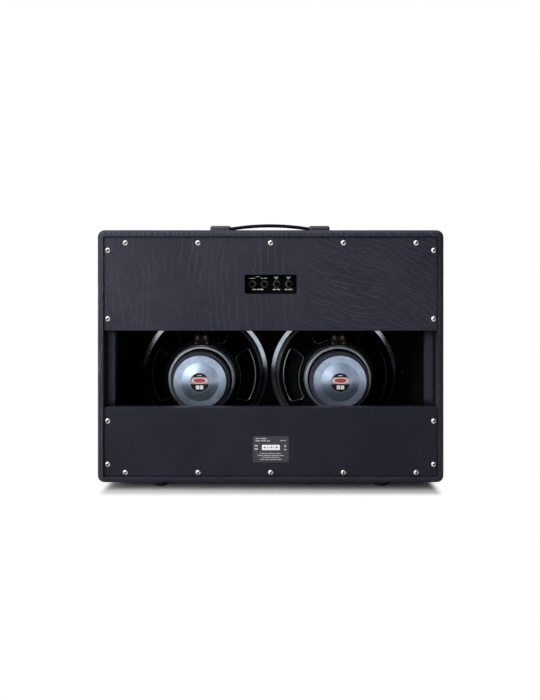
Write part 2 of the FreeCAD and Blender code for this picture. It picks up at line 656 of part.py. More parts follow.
def jack_cutout():
    """Rounded opening in the upper panel behind which the jack plate sits."""
    return rounded_slab(JACK_CUTOUT_WIDTH, JACK_CUTOUT_HEIGHT, JACK_CUTOUT_RADIUS, 0.0, JACK_Z,
                        PANEL_INNER_Y - REACH, BACK_Y + REACH)


def rounded_slab(width, height, radius, x, z, y0, y1):
    """Upright slab with rounded corners, about a middle point."""
    slab = block(x - width / 2, x + width / 2, y0, y1, z - height / 2, z + height / 2)
    return slab.makeFillet(radius, [edge for edge in slab.Edges if edge.BoundBox.YLength > (y1 - y0) / 2])


def back_panel(level):
    """Core of a rear panel and the vinyl over its face and edges."""
    foot, top = panel_levels(level)
    skin = VINYL_THICKNESS
    core = rounded_box(-PANEL_X + skin, PANEL_X - skin, PANEL_INNER_Y, PANEL_OUTER_Y - skin,
                       foot + skin, top - skin, PANEL_CORNER_RADIUS - skin, PANEL_EDGE_RADIUS - skin,
                       back_only=True)
    whole = rounded_box(-PANEL_X, PANEL_X, PANEL_INNER_Y, PANEL_OUTER_Y, foot, top,
                        PANEL_CORNER_RADIUS, PANEL_EDGE_RADIUS, back_only=True)
    covering = whole.cut(core)
    tools = panel_screw_holes(level)
    if level > 0:
        tools.append(jack_cutout())
    skinned = carved(covering, tools)
    if level > 0:
        tools = tools + jack_plate_screw_holes()
    return carved(core, tools), skinned


def back_battens():
    """Square battens round the inside of the back: two uprights and two rails between them."""
    holes = panel_screw_holes(1) + panel_screw_holes(-1)
    inside = WOOD_INSIDE_X - BATTEN_WIDTH
    spans = {
        "left_back_batten": (-WOOD_INSIDE_X, -inside, WOOD_FLOOR_Z, WOOD_ROOF_Z),
        "right_back_batten": (inside, WOOD_INSIDE_X, WOOD_FLOOR_Z, WOOD_ROOF_Z),
        "top_back_batten": (-inside, inside, WOOD_ROOF_Z - BATTEN_WIDTH, WOOD_ROOF_Z),
        "bottom_back_batten": (-inside, inside, WOOD_FLOOR_Z, WOOD_FLOOR_Z + BATTEN_WIDTH),
    }
    return {name: carved(block(x0, x1, BATTEN_FRONT_Y, PANEL_INNER_Y, z0, z1), holes)
            for name, (x0, x1, z0, z1) in spans.items()}


def back_panel_screws():
    """Domed screws of both rear panels."""
    length = PANEL_OUTER_Y - PANEL_INNER_Y + PANEL_SCREW_BITE
    screw = dome_screw(PANEL_SCREW_HEAD_DIAMETER, PANEL_SCREW_HEAD_HEIGHT, PANEL_SCREW_DIAMETER, length)
    return [moved(screw, x, PANEL_OUTER_Y, z) for level in (1, -1) for x, z in panel_screw_places(level)]


def rating_label():
    """Thin blank label on the lower panel."""
    middle_z = LOWER_PANEL_FOOT_Z + LABEL_ABOVE_PANEL_FOOT
    return rounded_slab(LABEL_WIDTH, LABEL_HEIGHT, LABEL_CORNER_RADIUS, 0.0, middle_z,
                        PANEL_OUTER_Y, PANEL_OUTER_Y + LABEL_THICKNESS)


# Feet


def foot_places():
    """Middles of the four feet."""
    x = HALF_WIDTH - FOOT_FROM_SIDE
    y = BACK_Y - FOOT_FROM_ENDS
    return [(sx * x, sy * y) for sx in (-1, 1) for sy in (-1, 1)]


def rubber_feet():
    """Round rubber feet with a well for the screw's head."""
    hole = hole_diameter(FOOT_SCREW_DIAMETER) / 2
    well = FOOT_SCREW_WELL_DIAMETER / 2
    side = FOOT_DIAMETER / 2
    inner = side - FOOT_EDGE_RADIUS
    half_way = FOOT_EDGE_RADIUS * math.sin(math.pi / 4)
    on_edge = (inner + half_way, FOOT_EDGE_RADIUS - half_way)
    foot = revolved(outline((hole, FOOT_HEIGHT), (hole, FOOT_SCREW_SEAT), (well, FOOT_SCREW_SEAT), (well, 0),
                            (inner, 0), (on_edge, (side, FOOT_EDGE_RADIUS)), (side, FOOT_HEIGHT)))
    upright = turned_over(foot, Vector(1, 0, 0), 90)
    return [moved(upright, x, y) for x, y in foot_places()]


def foot_screws():
    """Screws up through the feet into the bottom board."""
    length = FOOT_HEIGHT - FOOT_SCREW_SEAT + VINYL_THICKNESS + FOOT_SCREW_BITE
    screw = dome_screw(FOOT_SCREW_HEAD_DIAMETER, FOOT_SCREW_HEAD_HEIGHT, FOOT_SCREW_DIAMETER, length)
    upward = turned_over(screw, Vector(1, 0, 0), -90)
    return [moved(upward, x, y, FOOT_SCREW_SEAT) for x, y in foot_places()]


# Strap handle


def handle_bolt_x():
    """Distance of the handle's bolts from the middle."""
    return HANDLE_LENGTH / 2 - CAP_LENGTH / 2


def handle_bolt_holes():
    """Holes for the handle's bolts through caps, covering, board and nut plates."""
    low = WOOD_ROOF_Z - HANDLE_NUT_PLATE_THICKNESS - REACH
    return [rod(hole_diameter(HANDLE_BOLT_DIAMETER), Vector(side * handle_bolt_x(), 0, low),
                Vector(side * handle_bolt_x(), 0, ROOF_Z + CAP_HEIGHT + REACH)) for side in (-1, 1)]


def strap_band(grow):
    """Side face of the strap: two tongues and an arch of four tangent arcs, grown by a clearance."""
    half = STRAP_THICKNESS / 2 + grow
    span = HANDLE_LENGTH / 2 - CAP_LENGTH
    seat = ROOF_Z + STRAP_SEAT_HEIGHT
    rise = STRAP_CREST_HEIGHT - STRAP_SEAT_HEIGHT
    foot_x = span + STRAP_FOOT_INSIDE_CAP
    crest_radius = (foot_x ** 2 + rise ** 2) / (2 * rise) - STRAP_FOOT_RADIUS
    sweep = 2 * math.atan(rise / foot_x)
    end = span + STRAP_TONGUE_LENGTH + (STRAP_FREE_TRAVEL if grow else 0.0)

    def on_foot_arc(angle, offset, side):
        reach = STRAP_FOOT_RADIUS - offset
        return side * (foot_x - reach * math.sin(angle)), seat + STRAP_FOOT_RADIUS - reach * math.cos(angle)

    def on_crest_arc(angle, offset, side):
        reach = crest_radius + offset
        return side * reach * math.sin(angle), seat + rise - crest_radius + reach * math.cos(angle)

    def edge_line(offset, side):
        """Half of one long edge, from the tongue's end to the crest."""
        return [on_foot_arc(0, offset, side),
                (on_foot_arc(sweep / 2, offset, side), on_foot_arc(sweep, offset, side))]

    top_left = edge_line(half, -1)
    low_right = edge_line(-half, 1)
    steps = [top_left[0], top_left[1],
             (on_crest_arc(0, half, 1), on_crest_arc(sweep, half, 1)),
             (on_foot_arc(sweep / 2, half, 1), on_foot_arc(0, half, 1)),
             (end, seat + half), (end, seat - half), low_right[0], low_right[1],
             (on_crest_arc(0, -half, 1), on_crest_arc(sweep, -half, -1)),
             (on_foot_arc(sweep / 2, -half, -1), on_foot_arc(0, -half, -1)),
             (-end, seat - half)]
    return outline((-end, seat + half), *steps)


def strap_solid(grow):
    """Strap as a band of its side face, grown by a clearance."""
    width = STRAP_WIDTH + 2 * grow
    band = strap_band(grow).extrude(Vector(0, 0, width))
    return moved(turned_over(band, Vector(1, 0, 0), 90), 0, width / 2)


def handle_strap():
    """Strap with a long slot in each tongue, in which it slides past its bolt."""
    slots = []
    for side in (-1, 1):
        x = side * handle_bolt_x()
        half_run = (STRAP_SLOT_LENGTH - STRAP_SLOT_WIDTH) / 2
        low = ROOF_Z
        high = ROOF_Z + CAP_HEIGHT
        slots += [rod(STRAP_SLOT_WIDTH, Vector(x - half_run, 0, low), Vector(x - half_run, 0, high)),
                  rod(STRAP_SLOT_WIDTH, Vector(x + half_run, 0, low), Vector(x + half_run, 0, high)),
                  block(x - half_run, x + half_run, -STRAP_SLOT_WIDTH / 2, STRAP_SLOT_WIDTH / 2, low, high)]
    return carved(strap_solid(0.0), slots)


def handle_cap(side):
    """Moulded end cap over one tongue of the strap."""
    x0, x1 = sorted((side * HANDLE_LENGTH / 2, side * (HANDLE_LENGTH / 2 - CAP_LENGTH)))
    cap = block(x0, x1, -CAP_WIDTH / 2, CAP_WIDTH / 2, ROOF_Z, ROOF_Z + CAP_HEIGHT)
    rounded = [edge for edge in cap.Edges if edge.BoundBox.ZMax > ROOF_Z + CAP_HEIGHT / 2]
    cap = cap.makeFillet(CAP_EDGE_RADIUS, rounded)
    well = rod(HANDLE_BOLT_HEAD_DIAMETER + 2 * STRAP_CLEARANCE,
               Vector(side * handle_bolt_x(), 0, ROOF_Z + CAP_HEIGHT - HANDLE_BOLT_WELL_DEPTH),
               Vector(side * handle_bolt_x(), 0, ROOF_Z + CAP_HEIGHT + REACH))
    return carved(cap, [strap_solid(STRAP_CLEARANCE), well] + handle_bolt_holes())


def handle_bolts():
    """Bolts down through the caps and the top board into the nut plates."""
    seat = ROOF_Z + CAP_HEIGHT - HANDLE_BOLT_WELL_DEPTH
    length = seat - WOOD_ROOF_Z + HANDLE_NUT_PLATE_THICKNESS
    bolt = dome_screw(HANDLE_BOLT_HEAD_DIAMETER, HANDLE_BOLT_HEAD_HEIGHT, HANDLE_BOLT_DIAMETER, length)
    downward = turned_over(bolt, Vector(1, 0, 0), 90)
    return [moved(downward, side * handle_bolt_x(), 0, seat) for side in (-1, 1)]


def handle_nut_plates():
    """Square nut plates under the top board."""
    half = HANDLE_NUT_PLATE_SIZE / 2
    plates = []
    for side in (-1, 1):
        x = side * handle_bolt_x()
        plate = block(x - half, x + half, -half, half, WOOD_ROOF_Z - HANDLE_NUT_PLATE_THICKNESS, WOOD_ROOF_Z)
        plates.append(carved(plate, handle_bolt_holes()))
    return plates


# Jack plate


def jack_places():
    """X of each jack."""
    return [(n - (JACK_COUNT - 1) / 2) * JACK_PITCH for n in range(JACK_COUNT)]


def jack_plate_screw_places():
    """Screws at the four corners of the jack plate's margin."""
    x = JACK_CUTOUT_WIDTH / 2 + JACK_PLATE_MARGIN / 2
    z = JACK_CUTOUT_HEIGHT / 2 + JACK_PLATE_MARGIN / 2
    return [(sx * x, JACK_Z + sz * z) for sx in (-1, 1) for sz in (-1, 1)]


def jack_plate_screw_holes():
    """Holes for the jack plate's screws in the plate and the upper panel."""
    return [rod(hole_diameter(JACK_PLATE_SCREW_DIAMETER), Vector(x, JACK_PLATE_INNER_Y - REACH, z),
                Vector(x, PANEL_INNER_Y + JACK_PLATE_SCREW_BITE, z)) for x, z in jack_plate_screw_places()]


def jack_plate():
    """Steel plate on the inside of the upper panel, behind the cut-out."""
    margin = 2 * JACK_PLATE_MARGIN
    plate = rounded_slab(JACK_CUTOUT_WIDTH + margin, JACK_CUTOUT_HEIGHT + margin, JACK_CUTOUT_RADIUS,
                         0.0, JACK_Z, JACK_PLATE_INNER_Y, PANEL_INNER_Y)
    holes = [rod(hole_diameter(JACK_BUSH_DIAMETER), Vector(x, JACK_PLATE_INNER_Y - REACH, JACK_Z),
                 Vector(x, PANEL_INNER_Y + REACH, JACK_Z)) for x in jack_places()]
    return carved(plate, holes + jack_plate_screw_holes())


def jack_plate_screws():
    """Screws from inside the cabinet through the jack plate into the panel."""
    screw = dome_screw(JACK_PLATE_SCREW_HEAD_DIAMETER, JACK_PLATE_SCREW_HEAD_HEIGHT,
                       JACK_PLATE_SCREW_DIAMETER, JACK_PLATE_THICKNESS + JACK_PLATE_SCREW_BITE)
    inward = turned_over(screw, Vector(0, 0, 1), 180)
    return [moved(inward, x, JACK_PLATE_INNER_Y, z) for x, z in jack_plate_screw_places()]


def jack_sockets():
    """Jack sockets: a moulded body behind the plate and a threaded bush through it, with the plug's bore."""
    sockets = []
    mouth = PANEL_INNER_Y + JACK_BUSH_REACH
    for x in jack_places():
        body = block(x - JACK_BODY_WIDTH / 2, x + JACK_BODY_WIDTH / 2, JACK_BODY_INNER_Y, JACK_PLATE_INNER_Y,
                     JACK_Z - JACK_BODY_HEIGHT / 2, JACK_Z + JACK_BODY_HEIGHT / 2)
        bush = rod(JACK_BUSH_DIAMETER, Vector(x, JACK_PLATE_INNER_Y, JACK_Z), Vector(x, mouth, JACK_Z))
        bore = rod(JACK_BORE_DIAMETER, Vector(x, JACK_BODY_INNER_Y + JACK_BODY_END_WALL, JACK_Z),
                   Vector(x, mouth + REACH, JACK_Z))
        sockets.append(carved(body.fuse(bush), [bore]))
    return sockets


def jack_nuts():
    """Six-sided nuts that hold the sockets on the plate."""
    turn = 2 * math.pi / JACK_NUT_SIDES
    corner = JACK_NUT_ACROSS_FLATS / 2 / math.cos(turn / 2)
    nuts = []
    for x in jack_places():
        corners = [Vector(x + corner * math.cos(turn * n), PANEL_INNER_Y,
                          JACK_Z + corner * math.sin(turn * n)) for n in range(JACK_NUT_SIDES + 1)]
        nut = Part.Face(Part.makePolygon(corners)).extrude(Vector(0, JACK_NUT_THICKNESS, 0))
        hole = rod(hole_diameter(JACK_BUSH_DIAMETER), Vector(x, PANEL_INNER_Y - REACH, JACK_Z),
                   Vector(x, BACK_Y, JACK_Z))
        nuts.append(carved(nut, [hole]))
    return nuts


def jack_circuit_board():
    """Circuit board across the backs of the sockets."""
    half = (JACK_COUNT - 1) / 2 * JACK_PITCH + JACK_BODY_WIDTH / 2 + JACK_BOARD_MARGIN
    rise = JACK_BODY_HEIGHT / 2 + JACK_BOARD_MARGIN
    return block(-half, half, JACK_BOARD_INNER_Y, JACK_BODY_INNER_Y, JACK_Z - rise, JACK_Z + rise)


# Blades, push-on sleeves and wires


def jack_blade_places():
    """X of each blade on the jack board, two for each speaker."""
    return [side * JACK_WIRE_OFFSET + shift * BLADE_SPACING / 2 for side in (-1, 1) for shift in (-1, 1)]


def speaker_blade_places():
    """X of each blade on the terminal boards, two for each speaker."""
    return [side * SPEAKER_X + shift * BLADE_SPACING / 2 for side in (-1, 1) for shift in (-1, 1)]


def jack_board_tabs():
    """Blades on the inner face of the jack board."""
    tip = JACK_BOARD_INNER_Y - BLADE_FREE_LENGTH
    return [block(x - BLADE_WIDTH / 2, x + BLADE_WIDTH / 2, tip, JACK_BOARD_INNER_Y,
                  JACK_Z - BLADE_THICKNESS / 2, JACK_Z + BLADE_THICKNESS / 2) for x in jack_blade_places()]


def terminal_tags():
    """Blades on the terminal boards, standing up past their top edges."""
    low = SPEAKER_Z + TERMINAL_BOARD_END - BLADE_SEAT_LENGTH
    high = SPEAKER_Z + TERMINAL_BOARD_END + BLADE_FREE_LENGTH
    front = SPEAKER_SEAT_Y + BOARD_BACK
    return [block(x - BLADE_WIDTH / 2, x + BLADE_WIDTH / 2, front, front + BLADE_THICKNESS, low, high)
            for x in speaker_blade_places()]


def push_on_sleeve():
    """Sleeve along Z for a blade that enters from below: its mouth is at zero."""
    half_x = BLADE_WIDTH / 2 + SLEEVE_CLEARANCE
    half_y = BLADE_THICKNESS / 2 + SLEEVE_CLEARANCE
    whole = block(-half_x - SLEEVE_WALL, half_x + SLEEVE_WALL, -half_y - SLEEVE_WALL, half_y + SLEEVE_WALL,
                  0, SLEEVE_LENGTH)
    along = [edge for edge in whole.Edges if edge.BoundBox.ZLength > SLEEVE_LENGTH / 2]
    whole = whole.makeFillet(SLEEVE_WALL, along)
    slot_depth = BLADE_FREE_LENGTH - SLEEVE_STAND_OFF + SLEEVE_CLEARANCE
    return carved(whole, [block(-half_x, half_x, -half_y, half_y, -REACH, slot_depth)])


def wire_connectors():
    """Push-on sleeves at both ends of the four wires."""
    sleeve = push_on_sleeve()
    sideways = turned_over(sleeve, Vector(1, 0, 0), 90)
    mouth_y = JACK_BOARD_INNER_Y - SLEEVE_STAND_OFF
    at_jacks = [moved(sideways, x, mouth_y, JACK_Z) for x in jack_blade_places()]
    foot = SPEAKER_Z + TERMINAL_BOARD_END + SLEEVE_STAND_OFF
    at_speakers = [moved(sleeve, x, SPEAKER_SEAT_Y + BLADE_MIDDLE, foot) for x in speaker_blade_places()]
    return at_jacks + at_speakers


def speaker_wires():
    """Four insulated wires from the jack board's sleeves to the speakers' sleeves."""
    wires = []
    start_y = JACK_BOARD_INNER_Y - SLEEVE_STAND_OFF - SLEEVE_LENGTH
    end_z = SPEAKER_Z + TERMINAL_BOARD_END + SLEEVE_STAND_OFF + SLEEVE_LENGTH
    for from_x, to_x in zip(jack_blade_places(), speaker_blade_places()):
        start = Vector(from_x, start_y, JACK_Z)
        way = Vector(to_x, SPEAKER_SEAT_Y + BLADE_MIDDLE, end_z) - start
        points = [start + Vector(way.x * a, way.y * b, way.z * c) for a, b, c in WIRE_TURNS]
        wires.append(round_wire("speaker wire", points, WIRE_DIAMETER))
    return wires


# Speakers, made about the Y axis with depth counted back from the front face of the rim


def basket():
    """Pressed steel frame: rim, step, windowed wall, spider ledge and rear pan, with a tab on its side."""
    pan_front_radius = PAN_RADIUS - SHEET_THICKNESS
    shell = pressed_sheet([(RIM_RADIUS, 0), (STEP_RADIUS, 0), (STEP_RADIUS, STEP_DEPTH),
                           (WALL_OUTER_RADIUS, WALL_OUTER_DEPTH), (LEDGE_RADIUS, LEDGE_DEPTH),
                           (pan_front_radius, LEDGE_DEPTH), (pan_front_radius, PAN_FRONT),
                           (PAN_HOLE_RADIUS, PAN_FRONT)], SHEET_THICKNESS,
                          [RIM_BEND_RADIUS, STEP_BEND_RADIUS, WALL_BEND_RADIUS, LEDGE_BEND_RADIUS,
                           LEDGE_BEND_RADIUS, PAN_BEND_RADIUS])
    half_tab = TERMINAL_TAB_WIDTH / 2
    wall_middle = PAN_RADIUS - SHEET_THICKNESS / 2
    tab = carved(block(-half_tab, half_tab, TAB_FRONT, TAB_BACK, half_tab, TERMINAL_TAB_END),
                 [rod(2 * wall_middle, Vector(0, TAB_FRONT - REACH, 0), Vector(0, TAB_BACK + REACH, 0))])
    bolt_holes = [rod(hole_diameter(MOUNT_BOLT_DIAMETER), Vector(x, -REACH, z), Vector(x, REACH, z))
                  for x, z in mount_bolt_places()]
    return carved(shell.fuse(tab), window_cutters() + bolt_holes + rivet_holes())


def window_cutters():
    """Rounded sectors that cut the windows in the frame's wall."""
    angle = math.radians(WINDOW_HALF_ANGLE)

    def polar(radius, share):
        return radius * math.cos(share * angle), radius * math.sin(share * angle)

    inner = [polar(WINDOW_INNER_RADIUS, share) for share in (-1, 0, 1)]
    outer = [polar(WINDOW_OUTER_RADIUS, share) for share in (-1, 0, 1)]
    sector = outline(inner[0], outer[0], (outer[1], outer[2]), inner[2], (inner[1], inner[0]))
    length = LEDGE_DEPTH - WALL_OUTER_DEPTH + 2 * SHEET_THICKNESS
    prism = sector.extrude(Vector(0, 0, length))
    along = [edge for edge in prism.Edges if edge.BoundBox.ZLength > length / 2]
    prism = prism.makeFillet(WINDOW_CORNER_RADIUS, along)
    lying = moved(turned_over(prism, Vector(1, 0, 0), 90), 0, LEDGE_DEPTH + SHEET_THICKNESS)
    return [turned_over(lying, Vector(0, 1, 0), 360.0 / WINDOW_COUNT * n) for n in range(WINDOW_COUNT)]


def rivet_places():
    """Places of the terminal board's rivets about the speaker's axis."""
    return [(side * TERMINAL_RIVET_SPACING / 2, TERMINAL_RIVET_RADIUS) for side in (-1, 1)]


def rivet_holes():
    """Holes for the terminal board's rivets in tab and board."""
    return [rod(hole_diameter(TERMINAL_RIVET_DIAMETER), Vector(x, TAB_FRONT - REACH, z),
                Vector(x, BOARD_BACK + REACH, z)) for x, z in rivet_places()]


def terminal_rivets():
    """Two rivets through tab and terminal board, with a head on each side."""
    rivets = []
    for x, z in rivet_places():
        shank = rod(TERMINAL_RIVET_DIAMETER, Vector(x, TAB_FRONT, z), Vector(x, BOARD_BACK, z))
        heads = [rod(TERMINAL_RIVET_HEAD_DIAMETER, Vector(x, face, z), Vector(x, end, z))
                 for face, end in ((TAB_FRONT, TAB_FRONT - TERMINAL_RIVET_HEAD_HEIGHT),
                                   (BOARD_BACK, BOARD_BACK + TERMINAL_RIVET_HEAD_HEIGHT))]
        rivets.append(shank.fuse(heads).removeSplitter())
    return rivets


def terminal_board():
    """Insulating board on the frame's tab."""
    half = TERMINAL_TAB_WIDTH / 2
    board = block(-half, half, TAB_BACK, BOARD_BACK, TERMINAL_BOARD_FOOT, TERMINAL_BOARD_END)
    return carved(board, rivet_holes())


def yoke():
    """Back plate with its raised centre, in one piece with the pole."""
    pole_front = BASKET_DEPTH - POLE_LEAD
    body = revolved(outline((0, pole_front), (POLE_RADIUS, pole_front),
                            (POLE_RADIUS, MAGNET_BACK), (PLATE_RADIUS, MAGNET_BACK),
                            (PLATE_RADIUS, BACK_PLATE_BACK - MOTOR_CHAMFER),
                            (PLATE_RADIUS - MOTOR_CHAMFER, BACK_PLATE_BACK),
                            (BOSS_BASE_RADIUS, BACK_PLATE_BACK), (BOSS_TOP_RADIUS, BOSS_BACK),
                            (0, BOSS_BACK)))
    rims = [edge for edge in body.Edges if edge.Closed and edge.BoundBox.YMin > BACK_PLATE_BACK - SAME_PLACE
            and edge.BoundBox.XMax < BOSS_BASE_RADIUS + SAME_PLACE]
    return body.makeFillet(BOSS_BLEND_RADIUS, rims)


def cone_line(radius):
    """Depth of the cone's front face at a radius."""
    share = (CONE_EDGE_RADIUS - radius) / (CONE_EDGE_RADIUS - NECK_RADIUS)
    return CONE_EDGE_DEPTH + share * (NECK_DEPTH - CONE_EDGE_DEPTH)


def cone_slant():
    """Length of a step along the cone for each millimetre of radius."""
    slope = (NECK_DEPTH - CONE_EDGE_DEPTH) / (CONE_EDGE_RADIUS - NECK_RADIUS)
    return math.hypot(1, slope)


def cone():
    """Paper cone from the coil former to the surround."""
    behind = CONE_THICKNESS * cone_slant()
    return revolved(outline((NECK_RADIUS, NECK_DEPTH), (CONE_EDGE_RADIUS, CONE_EDGE_DEPTH),
                            (CONE_EDGE_RADIUS, CONE_EDGE_DEPTH + behind), (NECK_RADIUS, NECK_DEPTH + behind)))


def dust_cap():
    """Domed cap over the middle of the cone."""
    rim = cone_line(DUST_CAP_RADIUS) - GLUE_GAP
    inner_rim = DUST_CAP_RADIUS - DUST_CAP_THICKNESS
    top = rim - DUST_CAP_HEIGHT
    outer_radius = (DUST_CAP_RADIUS ** 2 + DUST_CAP_HEIGHT ** 2) / (2 * DUST_CAP_HEIGHT)
    inner_rise = DUST_CAP_HEIGHT - DUST_CAP_THICKNESS
    inner_radius = (inner_rim ** 2 + inner_rise ** 2) / (2 * inner_rise)

    def on_dome(radius, reach, crest):
        half_angle = math.asin(reach / radius) / 2
        return radius * math.sin(half_angle), crest + radius * (1 - math.cos(half_angle))

    inner_top = top + DUST_CAP_THICKNESS
    return revolved(outline((0, top), (on_dome(outer_radius, DUST_CAP_RADIUS, top), (DUST_CAP_RADIUS, rim)),
                            (inner_rim, rim), (on_dome(inner_radius, inner_rim, inner_top), (0, inner_top))))


def voice_coil():
    """Former with its winding, which stands in the motor's gap."""
    inner = FORMER_RADIUS - FORMER_WALL
    front = NECK_DEPTH - GAP_CLEARANCE
    wound_front = GAP_MIDDLE - WINDING_LENGTH / 2
    wound_back = GAP_MIDDLE + WINDING_LENGTH / 2
    return revolved(outline((inner, front), (FORMER_RADIUS, front), (FORMER_RADIUS, wound_front),
                            (WINDING_RADIUS, wound_front), (WINDING_RADIUS, wound_back), (inner, wound_back)))


def waves(start, end, count, height):
    """Corner points of a corrugation between two points: alternating above and below the line."""
    points = []
    steps = 2 * count
    for n in range(1, steps):
        share = n / steps
        side = height if n % 2 else -height
        points.append((start[0] + (end[0] - start[0]) * share, start[1] + (end[1] - start[1]) * share - side))
    return points


def surround():
    """Corrugated edge from the frame's rim to the cone."""
    land_end = STEP_RADIUS + SURROUND_LAND_SETBACK
    skirt_gap = (GLUE_GAP + SURROUND_THICKNESS) * cone_slant()
    skirt_start = CONE_EDGE_RADIUS
    skirt_end = CONE_EDGE_RADIUS - SURROUND_SKIRT_WIDTH
    land = (land_end, -SURROUND_THICKNESS)
    skirt = (skirt_start, cone_line(skirt_start) - skirt_gap)
    corners = [(land_end + SURROUND_LAND_WIDTH, -SURROUND_THICKNESS), land]
    corners += waves(land, skirt, SURROUND_WAVE_COUNT, SURROUND_WAVE_HEIGHT)
    corners += [skirt, (skirt_end, cone_line(skirt_end) - skirt_gap)]
    return pressed_sheet(corners, SURROUND_THICKNESS, [SURROUND_LAND_WIDTH] * len(corners))


def spider():
    """Corrugated disc that centres the coil, from the frame's ledge to the former."""
    land_start = LEDGE_RADIUS - LEDGE_BEND_RADIUS
    land_end = land_start - SPIDER_LAND_WIDTH
    land = (land_end, LEDGE_DEPTH - SPIDER_THICKNESS)
    foot = (NECK_RADIUS + SPIDER_LAND_WIDTH, SPIDER_NECK_DEPTH)
    corners = [(land_start, LEDGE_DEPTH - SPIDER_THICKNESS), land]
    corners += waves(land, foot, SPIDER_WAVE_COUNT, SPIDER_WAVE_HEIGHT)
    corners += [foot, (NECK_RADIUS, SPIDER_NECK_DEPTH)]
    return pressed_sheet(corners, SPIDER_THICKNESS, [SPIDER_LAND_WIDTH] * len(corners))


def tinsel_leads():
    """Two flexible leads from the terminal board to the back of the cone."""
    start_z = (TERMINAL_TAB_END + TERMINAL_BOARD_END) / 2
    end_depth = cone_line(TINSEL_CONE_RADIUS) + CONE_THICKNESS * cone_slant() + GLUE_GAP + TINSEL_DIAMETER / 2
    way_z = TINSEL_CONE_RADIUS - start_z
    way_y = end_depth - TAB_BACK
    leads = []
    for side in (-1, 1):
        x = side * TINSEL_SPACING / 2
        points = [Vector(x, TAB_BACK + way_y * b, start_z + way_z * c) for b, c in TINSEL_TURNS]
        leads.append(round_wire("tinsel lead", points, TINSEL_DIAMETER))
    return leads


def speaker_bolts():
    """Bolts from behind each speaker's rim through gasket and baffle into the tee nuts."""
    length = SHEET_THICKNESS + GASKET_THICKNESS + BAFFLE_THICKNESS
    bolt = dome_screw(MOUNT_BOLT_HEAD_DIAMETER, MOUNT_BOLT_HEAD_HEIGHT, MOUNT_BOLT_DIAMETER, length)
    return [moved(bolt, x, SHEET_THICKNESS, z) for x, z in mount_bolt_places()]


def speaker_tee_nuts():
    """Tee nuts let in flush with the front of the baffle."""
    front = BAFFLE_FRONT_Y - SPEAKER_SEAT_Y
    bore = hole_diameter(MOUNT_BOLT_DIAMETER) / 2
    flange = TEE_NUT_FLANGE_DIAMETER / 2
    barrel = TEE_NUT_BARREL_DIAMETER / 2
    seat = front + TEE_NUT_FLANGE_THICKNESS
    end = seat + TEE_NUT_BARREL_LENGTH
    nut = revolved(outline((bore, front), (flange, front), (flange, seat), (barrel, seat), (barrel, end),
                           (bore, end)))
    return [moved(nut, x, 0, z) for x, z in mount_bolt_places()]


def gasket():
    """Soft ring between a speaker's rim and the baffle."""
    front = -GASKET_THICKNESS
    holes = [rod(hole_diameter(MOUNT_BOLT_DIAMETER), Vector(x, front - REACH, z), Vector(x, REACH, z))
             for x, z in mount_bolt_places()]
    return carved(ring(GASKET_INNER_RADIUS, RIM_RADIUS, front, 0), holes)


def speaker_pieces():
    """Pieces of both speakers, put on their axes: some by side, some as pairs in one group."""
    own = {"basket": basket(), "yoke": yoke(),
           "magnet": ring(MAGNET_HOLE_RADIUS, MAGNET_RADIUS, FRONT_PLATE_BACK, MAGNET_BACK, MOTOR_CHAMFER),
           "cone": cone(), "dust_cap": dust_cap(), "voice_coil": voice_coil(), "surround": surround(),
           "spider": spider(), "tinsel_leads": tinsel_leads()}
    shared = {"magnet_front_plates": [ring(FRONT_PLATE_BORE_RADIUS, PLATE_RADIUS, BASKET_DEPTH,
                                           FRONT_PLATE_BACK)],
              "magnet_labels": [rod(2 * MAGNET_LABEL_RADIUS, Vector(0, BOSS_BACK, 0),
                                    Vector(0, BOSS_BACK + MAGNET_LABEL_THICKNESS, 0))],
              "terminal_boards": [terminal_board()], "terminal_rivets": terminal_rivets(),
              "speaker_gaskets": [gasket()], "speaker_bolts": speaker_bolts(),
              "speaker_tee_nuts": speaker_tee_nuts()}
    pieces = {}
    for name, side in speaker_places():
        for piece, shape in own.items():
            solids = shape if isinstance(shape, list) else [shape]
            pieces[f"{name}_{piece}"] = [at_speaker(solid, side) for solid in solids]
    for piece, solids in shared.items():
        pieces[piece] = [at_speaker(solid, side) for _, side in speaker_places() for solid in solids]
    return pieces


def all_pieces():
    """Every piece of the cabinet by name."""
    upper_core, upper_skin = back_panel(1)
    lower_core, lower_skin = back_panel(-1)
    pieces = cabinet_boards()
    pieces.update(back_battens())
    pieces.update(speaker_pieces())
    pieces.update({
        "upper_back_panel": upper_core, "upper_back_covering": upper_skin,
        "lower_back_panel": lower_core, "lower_back_covering": lower_skin,
        "left_handle_cap": handle_cap(-1), "right_handle_cap": handle_cap(1),
    })
    single = (cabinet_covering, baffle_board, grille_frame, grille_cloth, grille_screws, back_panel_screws,
              rating_label, rubber_feet, foot_screws, handle_strap, handle_bolts, handle_nut_plates,
              jack_plate, jack_plate_screws, jack_sockets, jack_nuts, jack_circuit_board, jack_board_tabs,
              terminal_tags, wire_connectors, speaker_wires)
    pieces.update({piece.__name__: piece() for piece in single})
    return pieces


os.makedirs("parts", exist_ok=True)
for node, shape in all_pieces().items():
    whole = Part.makeCompound(shape) if isinstance(shape, list) else shape
    bad = [solid for solid in whole.Solids if not solid.isValid() or solid.Volume <= 0]
    print(f"{node}: {len(whole.Solids)} solids, {len(bad)} faulty")
    whole.exportStep(f"parts/{node}.step")
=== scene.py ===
"""Studio dressing of an open-backed guitar speaker cabinet with two twelve-inch speakers.

Metres, +Z up. The grille faces -Y; the open back, with the jack plate and the rating label, faces +Y.
"""

